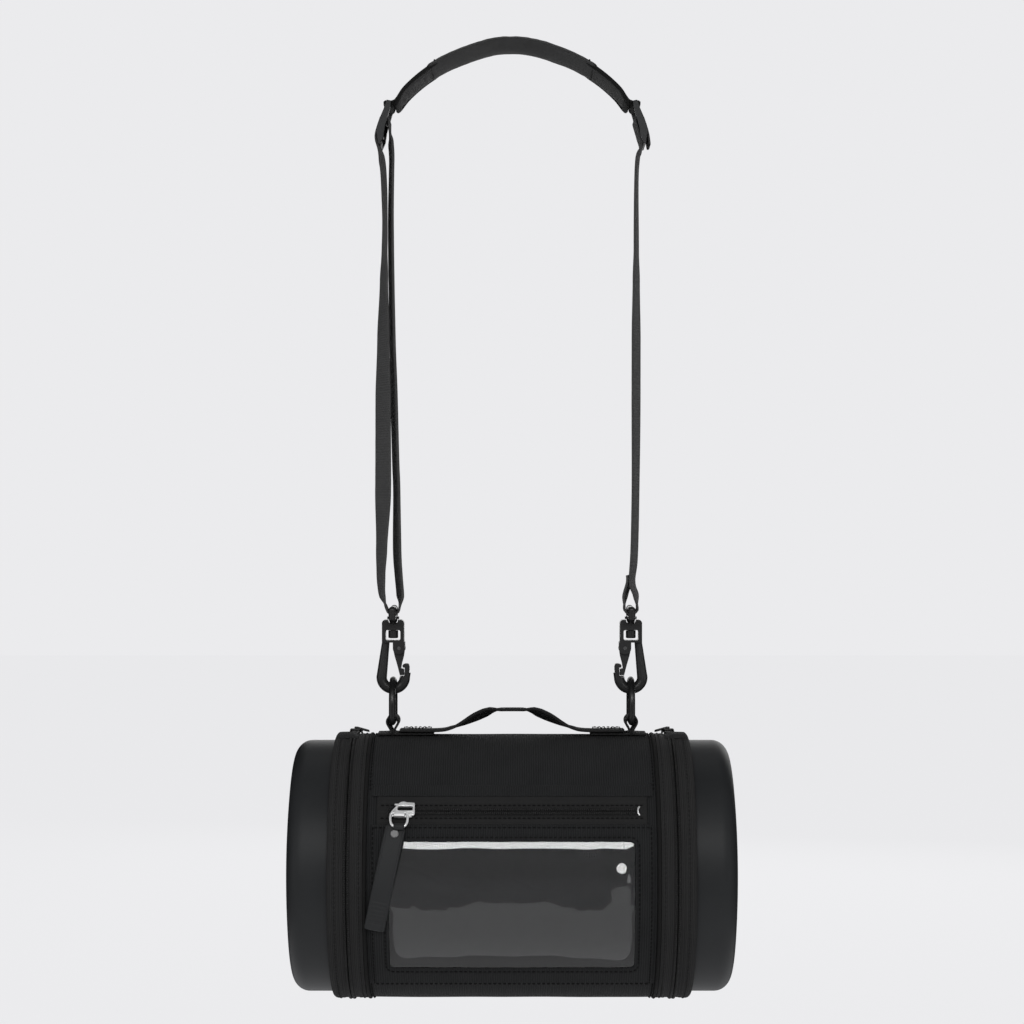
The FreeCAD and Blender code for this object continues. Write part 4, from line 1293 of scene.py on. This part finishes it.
def make_left_strap():
    """The adjustable side: two runs that pass through the hook's eye and the buckle."""
    outer = [on_buckle(4.2, 22.0), on_buckle(3.0, 27.5), (-87.0, -70.0), (-85.6, -82.0),
             (-84.8, -111.0), (-85.4, -151.0), (-85.8, -191.0), (-86.0, -231.0), (-86.0, -291.0),
             (-87.0, -331.0), (-87.4, -348.0), (-86.8, -360.0), (-85.0, -366.0)]
    inner = [(-74.6, -366.5), (-74.6, -360.0), (-75.6, -348.0), (-76.6, -331.0), (-76.9, -291.0),
             (-77.6, -271.0), (-78.6, -231.0), (-79.6, -191.0), (-80.4, -151.0), (-80.8, -111.0),
             (-80.4, -82.0), (-80.2, -70.0), (-80.6, -62.0), (-81.4, -54.0)]
    line = round_buckle(MID_BAR, 180, 0) + outer
    line += arc_xz(EYE_BAR, EYE_TURN, 212, 330) + inner
    outer_twist = turned_about_z([(-60, 0), (-71, 9), (-91, 9), (-111, 8), (-131, 9), (-151, 13),
                                  (-191, 20), (-231, 25), (-291, 26), (-331, 18), (-348, 14),
                                  (-361, 11), (-369, 2)])
    inner_twist = turned_about_z([(-52, 0), (-60, 8), (-131, 9), (-191, 9), (-231, 11), (-291, 11),
                                  (-331, 13), (-361, 12), (-369, 2)])

    def across(p):
        return outer_twist(p) if p.x < -HANG_X - 3.3 else inner_twist(p)
    mesh = strap("left_strap_webbing", in_xz(line), STRAP_WIDE, 1.6, across, closed=True)
    piece("left_strap_webbing", mesh, "lit_strap_web", "strap", "webbing", ["left_webbing"])


def make_right_strap():
    """The fixed side: one run from the buckle, folded over the hook's eye and sewn."""
    run = [on_buckle(4.2, 22.0), on_buckle(3.8, 30.0)][::-1]
    run += round_buckle(MID_BAR, 0, 180)
    run += [on_buckle(-1.4, 22.0), on_buckle(-1.4, 30.0), (-83.2, -78.0), (-82.9, -151.0),
            (-82.6, -271.0), (-81.6, -331.0), (-80.1, -352.0), (-82.6, -361.0)]
    run += arc_xz(EYE_BAR, EYE_TURN, 190, 350)
    run += [(-75.6, -361.0), (-78.2, -352.3), (-78.3, -347.6)]
    twist = turned_about_z([(-60, 0), (-71, -6), (-131, -8), (-151, -11), (-191, -14), (-231, -14),
                            (-300, -12), (-340, -12), (-352, -10), (-361, -9), (-369, -2)])
    mesh = strap("right_strap_webbing", in_xz(run, -1), STRAP_WIDE, 1.6, twist)
    piece("right_strap_webbing", mesh, "lit_strap_web", "strap", "webbing", ["right_webbing"])
    rows = []
    for y in (-10, -5, 0, 5, 10):
        for z in (-350.4, -353.4):
            rows.append((mm(77.3, y, z), Vector((0, 1, 0)), Vector((-1, 0, 0))))
    stitches("strap_tail_stitches", rows, "strap", (2.6, 0.4), slot="webbing")


def make_handle():
    """The grab handle."""
    half = [(0, -437.3), (12, -437.6), (17, -439.1), (25, -442.7), (33, -446.7), (40, -449.4),
            (49, -451.1), (74.4, -451.1)]
    points = in_xz([(-x, z) for x, z in half[:0:-1]] + half)

    def across(p):
        bell = ramp(abs(p.x), 7, 19) * (1 - ramp(abs(p.x), 22, 42))
        return Matrix.Rotation(math.radians(-3 - 13 * bell), 3, "X") @ Y_WIDE
    piece("handle_webbing", strap("handle_webbing", points, STRAP_WIDE, 2.0, across), "webbing",
          "bag", "webbing", ["handle"])


def box_seam(s):
    """Stitch places for a crossed box over one end of the handle."""
    x, y, z = (54, 72), (-10, 10), -450.1
    rows = []
    for x0, x1, y0, y1 in ((0, 1, 0, 0), (0, 1, 1, 1), (0, 0, 0, 1), (1, 1, 0, 1), (0, 1, 0, 1),
                           (0, 1, 1, 0)):
        start, end = mm(s * x[x0], y[y0], z), mm(s * x[x1], y[y1], z)

        def path(t, start=start, end=end):
            return start.lerp(end, t), Vector((0, 0, 1))
        rows += row_of_stitches(path, pitch=3.0)
    return rows


def make_anchors():
    """The webbing loops that hold the D-rings, and the seams through them and the handle."""
    flat = BAG_Z + R_SHELL + 0.9
    hang = -HANG_X
    rows = []
    for side, s in SIDES:
        line = [(-52.0, flat), (-66.0, flat), (hang + 2.2, flat), (hang + 0.85, flat + 0.9),
                (hang + 0.9, -450.8)]
        line += arc_xz((hang, -444.9), 3.7, -30, 210, 14)
        line += [(hang - 0.9, -450.8), (hang - 0.85, flat + 0.9), (hang - 2.2, flat),
                 (-89.0, flat - 0.3)]
        name = side + "_anchor_webbing"
        piece(name, strap(name, in_xz(line, -s), 20.0, 1.6), "webbing", "bag", "webbing",
              [side + "_anchor_loop"])
        roll = [(-s * hang, y, flat - 0.1) for y in (-9.4, 0.0, 9.4)]
        name = side + "_anchor_fold"
        piece(name, wire_mesh(name, roll, 1.1), "webbing", "bag", "webbing")
        rows += box_seam(s)
    stitches("handle_stitches", rows, "bag", (2.3, 0.36), slot="webbing")


make_left_strap()
make_right_strap()
make_handle()
make_anchors()


# ---- shoulder pad -------------------------------------------------------------------------------

ARCH_R = 98.0              # radius at which lengths along the pad are measured
EDGE_HALF = 0.85           # half thickness of the pad's cover where it is bound
SEAM_Y = 18.5              # the cover's sewn lines
WEBBING_R = 101.35         # the webbing's middle over the pad's back
SETTLE_FRAMES = 20         # length of the cover's cloth simulation
SLEEVE_HALF = 27.5
SLEEVE_TOP = 103.5
SLEEVE_DROP = 4.0          # how much lower the sleeve's top lies at its edges


def on_arch(radius, angle, y):
    """A point of the pad: degrees from the top, positive to the right. The arch is slightly
    pointed, so its shoulders sit lower than a circle's."""
    a = math.radians(angle)
    r = radius - 1.7 * ramp(abs(angle), 2, 21) - 1.0 * ramp(abs(angle), 46, 53)
    return mm(r * math.sin(a), y, r * math.cos(a) - PAD_R)


def arch_row(y, low, high, radius):
    """Stitch places on the pad, from one (angle, y share) to another; radius(y) sets the height."""
    def path(t):
        a = low[0] + (high[0] - low[0]) * t
        across = y * (low[1] + (high[1] - low[1]) * t)
        return on_arch(radius(across), a, across), on_arch(100, a, 0) - on_arch(99, a, 0)
    return row_of_stitches(path)


def cover_section(y):
    """Lower and upper radius of the pad's cover, y mm from its middle."""
    share = min(1.0, abs(y) / 24.0)
    return 96.2 + 2.1 * share ** 1.6, 100.5 - 0.7 * share ** 2.6


def inflate(obj, voxel, cap):
    """Fill a closed form like a stuffed pad: remesh, let cloth under pressure settle, keep every
    point within cap mm of where it began, and leave a plain mesh."""
    scene = bpy.context.scene
    remesh = obj.modifiers.new("remesh", "REMESH")
    remesh.mode = "VOXEL"
    remesh.voxel_size = voxel * 0.001
    bake_modifiers(obj)
    start = [v.co.copy() for v in obj.data.vertices]
    cloth_mod = obj.modifiers.new("cloth", "CLOTH")
    set_ = cloth_mod.settings
    set_.use_pressure = True
    set_.uniform_pressure_force = 4.0
    set_.effector_weights.gravity = 0.0
    set_.quality = 6
    set_.tension_stiffness = 25.0
    set_.compression_stiffness = 25.0
    for f in range(1, SETTLE_FRAMES + 1):
        scene.frame_set(f)
    bake_modifiers(obj)
    scene.frame_set(1)
    for v, old in zip(obj.data.vertices, start):
        move = v.co - old
        if move.length > cap * 0.001:
            v.co = old + move.normalized() * cap * 0.001
    smooth = obj.modifiers.new("smooth", "SMOOTH")
    smooth.iterations = 4
    sub = obj.modifiers.new("sub", "SUBSURF")
    sub.levels = sub.render_levels = 1
    bake_modifiers(obj)


def bake_modifiers(obj):
    """Replace the object's mesh by what its modifiers make of it."""
    graph = bpy.context.evaluated_depsgraph_get()
    mesh = bpy.data.meshes.new_from_object(obj.evaluated_get(graph))
    obj.modifiers.clear()
    old = obj.data
    obj.data = mesh
    bpy.data.meshes.remove(old)


def cloth_map_from_place(mesh, locate):
    """Give a remeshed pad its cloth map again: locate(point) returns mm along and across."""
    layer = mesh.uv_layers.get("cloth") or mesh.uv_layers.new(name="cloth")
    where = [locate(v.co) for v in mesh.vertices]
    layer.data.foreach_set("uv", [c for loop in mesh.loops for c in where[loop.vertex_index]])


def arch_place(co):
    """Distance along the arch and across it, in mm."""
    x, z = co.x * 1000, co.z * 1000 + PAD_R
    return (co.y * 1000 + (math.hypot(x, z) - PAD_R) * 0.5, math.atan2(x, z) * ARCH_R)


COVER_REACH = 52.6 * ARCH_R * math.pi / 180
COVER_HALF = 23.4
COVER_CORNER = 10.0


def cover_half_width(u):
    """Half width of the pad's cover u mm along the arch; its plan has round corners."""
    d = max(0.0, COVER_REACH - abs(u))
    if d > COVER_CORNER:
        return COVER_HALF
    inset = math.sqrt(max(0.0, COVER_CORNER ** 2 - (COVER_CORNER - d) ** 2))
    return COVER_HALF - COVER_CORNER + inset


def make_pad_cover():
    """The foam pad in its cloth cover, thick in the middle and thin along its edge."""
    rows, cols = 110, 34

    def point(i, k):
        j = k if k <= cols else 2 * cols - k
        u = -COVER_REACH + 2 * COVER_REACH * i / rows
        wide = cover_half_width(u)
        y = -wide + 2 * wide * j / cols
        low, high = cover_section(y)
        edge = max(0.45, ramp(min(wide - abs(y), COVER_REACH - abs(u)), -1.5, 5.0))
        thick = max(EDGE_HALF, (high - low) / 2 * edge)
        r = (low + high) / 2 + (thick if k <= cols else -thick)
        return on_arch(r, math.degrees(u / ARCH_R), y)
    mesh = grid("pad_cover_cloth", rows, 2 * cols, point, closed_cols=True)
    mend(mesh, fill=True)
    obj = piece("pad_cover_cloth", mesh, "strap_fabric", "strap", "strap_fabric",
                ["pad_cover", "pad_core"])
    inflate(obj, 1.4, 0.5)
    crease_cover(obj.data)
    cloth_map_from_place(obj.data, arch_place)
    obj.data.polygons.foreach_set("use_smooth", [True] * len(obj.data.polygons))


def crease_cover(mesh):
    """Press in the sewn lines, and the creases that the bend makes on the inner side."""
    for v in mesh.vertices:
        x, z, y = v.co.x * 1000, v.co.z * 1000 + PAD_R, v.co.y * 1000
        a = math.degrees(math.atan2(x, z))
        out = Vector((x, 0, z)).normalized()
        low, high = cover_section(y)
        inner = math.hypot(x, z) < (low + high) / 2 - 1.7 * ramp(abs(a), 2, 21)
        dr = -0.4 * math.exp(-((abs(y) - SEAM_Y) / 0.8) ** 2) * (-1 if inner else 1)
        if inner:
            crease = 1 + math.sin(a * 2.1 + 1.4 * wobble(a, y, 0, 9))
            dr += 0.25 * crease * ramp(20 - abs(y), 0, 8)
        v.co += out * dr * 0.001


def make_pad_binding():
    """The tape bound round the cover's edge, squeezed flat under the sleeve."""
    steps = 60
    edge_line = []
    for sign in (1, -1):
        for k in range(-steps, steps + 1):
            # points crowd together at the rounded ends
            u = COVER_REACH * math.sin(math.pi / 2 * k / steps)
            edge_line.append((sign * u, sign * cover_half_width(u)))

    def bind(i, a, b):
        u, y = edge_line[i % len(edge_line)]
        free = ramp(abs(u), 50.0, 56.0)
        a, b = a * (0.35 + 0.65 * free) - 0.6 * (1 - free), b * (0.6 + 0.4 * free)
        u2, y2 = edge_line[(i + 1) % len(edge_line)]
        u0, y0 = edge_line[i - 1]
        along = Vector((u2 - u0, y2 - y0))
        along = along.normalized() if along.length > 1e-6 else Vector((0, 1))
        low, high = cover_section(y)
        return on_arch((low + high) / 2 + b, math.degrees((u - along.y * a) / ARCH_R),
                       y + along.x * a)
    outline = []
    for c, d in circle(1.0, 24):
        outline.append((2.7 * math.copysign(abs(c) ** 0.6, c) - 0.9,
                        1.25 * math.copysign(abs(d) ** 0.6, d)))
    mesh = closed_profile("pad_binding", len(edge_line), outline, bind, 2.0)
    piece("pad_binding", mesh, "binding", "strap", "strap_fabric")


def make_pad_stitches():
    """The two sewn lines of the cover, where the sleeve leaves them open."""
    rows = []
    for y in (-SEAM_Y, SEAM_Y):
        for low, high in ((-50, -35), (35, 50)):
            rows += arch_row(y, (low, 1), (high, 1), lambda y: cover_section(y)[1] - 0.2)
    stitches("pad_stitches", rows, "strap", slot="strap_fabric")


def make_pad_sleeve():
    """The stretch sleeve round the middle of the pad: a soft flattened tube with turned hems."""
    reach, rows, count = 34.0, 84, 96

    def ring(half, low, high, drop, rise):
        """A lens-shaped section: (y, radius) pairs."""
        points = []
        for k in range(count):
            t = 2 * math.pi * k / count
            y = half * math.cos(t)
            share = abs(math.cos(t))
            edge = math.sqrt(max(0.0, 1 - share ** 6))
            top, bottom = high - drop * share ** 2.6, low + rise * share ** 1.6
            mid = (top + bottom) / 2
            target = top if math.sin(t) >= 0 else bottom
            points.append((y, mid + (target - mid) * edge))
        return points
    outer = ring(SLEEVE_HALF, 95.2, SLEEVE_TOP, SLEEVE_DROP, 3.4)
    inner = ring(SLEEVE_HALF - 1.9, 96.0, SLEEVE_TOP - 0.8, SLEEVE_DROP - 0.8, 2.6)

    def point(i, j):
        if i <= rows:
            a = -reach + 2 * reach * i / rows
            y, r = outer[j % count]
            near = reach - abs(a)
            hem = -0.35 * math.exp(-((near - 3.4) / 0.5) ** 2) - 0.5 * math.exp(-near / 0.35)
            soft = ramp(near, 2, 7)
            fold = (0.30 * wobble(a * 1.2, y * 0.8, r, 9) + 0.2 * wobble(a * 3, y * 0.3, r, 7)) * soft
            lift = (hem + fold) * (1 if r > 99 else -0.6)
            return on_arch(r + lift, a, y * (1 + (hem + fold) / 60))
        k = i - rows - 1
        a = (reach - 0.4) - 2 * (reach - 0.4) * k / (rows - 1)
        y, r = inner[j % count]
        return on_arch(r, a, y)

    def cloth_map(i, j):
        return (j * 0.75, i * 1.4)
    mesh = grid("pad_sleeve_cloth", 2 * rows + 1, count, point, cloth_map, closed_rows=True,
                closed_cols=True)
    mend(mesh)
    obj = piece("pad_sleeve_cloth", mesh, "strap_fabric", "strap", "strap_fabric", ["pad_sleeve"])
    def top(y):
        return SLEEVE_TOP - SLEEVE_DROP * (abs(y) / SLEEVE_HALF) ** 2.6 - 0.2
    hems = arch_row(22.0, (-30.6, -1), (-30.6, 1), top) + arch_row(22.0, (30.6, -1), (30.6, 1), top)
    stitches("sleeve_stitches", hems, "strap", slot="strap_fabric")


def make_pad_webbing():
    """The webbing over the pad's back, under the sleeve, down to both buckles."""
    left = []
    for a in range(4, 53, 6):
        p = on_arch(WEBBING_R, -a, 0) * 1000
        left.append((p.x, p.z))
    left += round_buckle(TOP_BAR, 25, -180)
    left += [on_buckle(-2.4, -1.0)]
    points = in_xz([(-x, z) for x, z in left[::-1]] + [(0, WEBBING_R - PAD_R)] + left)
    piece("pad_webbing_strip", strap("pad_webbing_strip", points, STRAP_WIDE, 1.5), "webbing",
          "strap", "webbing", ["pad_webbing"])


make_pad_cover()
make_pad_binding()
make_pad_stitches()
make_pad_sleeve()
make_pad_webbing()


# ---- end sliders --------------------------------------------------------------------------------

END_SLIDER_A = -12.0       # where the end sliders are parked
GARAGE_X = (101.6, 117.2)
GARAGE_A = (1.5, 11.0)


def make_end_slider(side, s):
    """The slider of an end zip, parked just behind the top."""
    turn = Place(s * CHAIN_X, 0.0, END_SLIDER_A)
    turn.x, turn.up = turn.up.copy(), -turn.x
    plate = [(-6.0, -2.4), (-5.4, -3.6), (1.5, -4.4), (3.0, -3.2), (6.0, -3.0), (6.0, 3.0),
             (3.0, 3.2), (1.5, 4.4), (-5.4, 3.6), (-6.0, 2.4)]
    slot = [(-2.6, -1.0), (3.4, -1.0), (3.4, 1.0), (-2.6, 1.0)]
    parts = slider_parts(turn, plate, slot, 88.9, 90.3, 4.3, 87.6)
    neck = [(-5.0, -2.6), (4.6, -2.4), (4.6, 2.4), (-5.0, 2.6)]
    parts.append(bevelled_plate(neck, 87.2, 89.2, turn, 0.3))
    name = side + "_slider_body"
    piece(name, joined(name, parts), "black_metal", side + "_end_slider", "black_metal",
          [side + "_end_slider"])


def make_end_pull(side, s):
    """A small open tab that lies towards the middle of the bag."""
    place = Place(s * CHAIN_X, 0.0, END_SLIDER_A)
    outline = [(1.2, -2.4), (0.6, -2.9), (-7.6, -2.5), (-8.8, -1.4), (-8.8, 1.4), (-7.6, 2.5),
               (0.6, 2.9), (1.2, 2.4)]
    hole = [(-0.4, -1.4), (-2.4, -1.4), (-2.4, 1.4), (-0.4, 1.4)]
    name = side + "_slider_pull"

    def drooping(x, y, z):
        return place(x, y, z - 0.27 * max(0.0, abs(x) - 1.0))
    tab = plate_with_hole([(s * x, y) for x, y in outline], [(s * x, y) for x, y in hole],
                          90.7, 91.9, drooping)
    piece(name, joined(name, [tab]), "black_metal", side + "_end_pull", "black_metal",
          [side + "_end_pull"])


def make_zip_garage(side, s):
    """The soft tab of band cloth at the top, sewn to the cap's side, that covers the zip's end."""
    x_low, x_high = GARAGE_X
    a_low, a_high = GARAGE_A
    rows, cols = 26, 30

    def point(i, k):
        j = k if k <= cols else 2 * cols - k
        x, a = x_low + (x_high - x_low) * j / cols, a_low + (a_high - a_low) * i / rows
        along = min(x - x_low, x_high - x)
        across = min(i, rows - i) / rows * (a_high - a_low) * DEG
        shoulder = 87.1 if x < 114 else 83.8 + math.sqrt(max(0.0, 3.4 ** 2 - (x - 113.9) ** 2))
        puff = 2.0 * math.sqrt(ramp(across, -0.3, 3.5)) * math.sqrt(ramp(along, -0.3, 4.5))
        puff += 0.35 * wobble(x, a * 2, s * 3, 4) * ramp(along, 0, 3)
        return on_barrel(s * x, shoulder + (puff if k <= cols else -0.4), a)

    def cloth_map(i, j):
        return (j * 0.55, i * 0.55)
    mesh = grid(side + "_zip_garage", rows, 2 * cols, point, cloth_map, closed_cols=True)
    mend(mesh, weld=0.00002, fill=True)
    piece(side + "_zip_garage", mesh, "band", side + "_lid", "band_fabric")


for side, s in SIDES:
    make_end_slider(side, s)
    make_end_pull(side, s)
    make_zip_garage(side, s)


# ---- hardware kept from the CAD -------------------------------------------------------------------

CAD_LOOK = {"pull_rivet": "rivet"}
for side, s in SIDES:
    for node, look in (("d_ring", "ring_metal"), ("swivel_eye", "hook"), ("hook_body", "hook"),
                       ("gate", "hook"), ("gate_pin", "steel"), ("gate_spring", "steel"),
                       ("buckle", "plastic")):
        CAD_LOOK[side + "_" + node] = look
for node, look in CAD_LOOK.items():
    target = NODES[node]
    for held in target.material_slots:
        held.material = MAT[look]
    if not target.material_slots:
        target.data.materials.append(MAT[look])
    soften = target.modifiers.new("soft_edges", "BEVEL")
    soften.width = 0.0003
    soften.segments = 2
    soften.limit_method = "ANGLE"
    soften.angle_limit = math.radians(40)
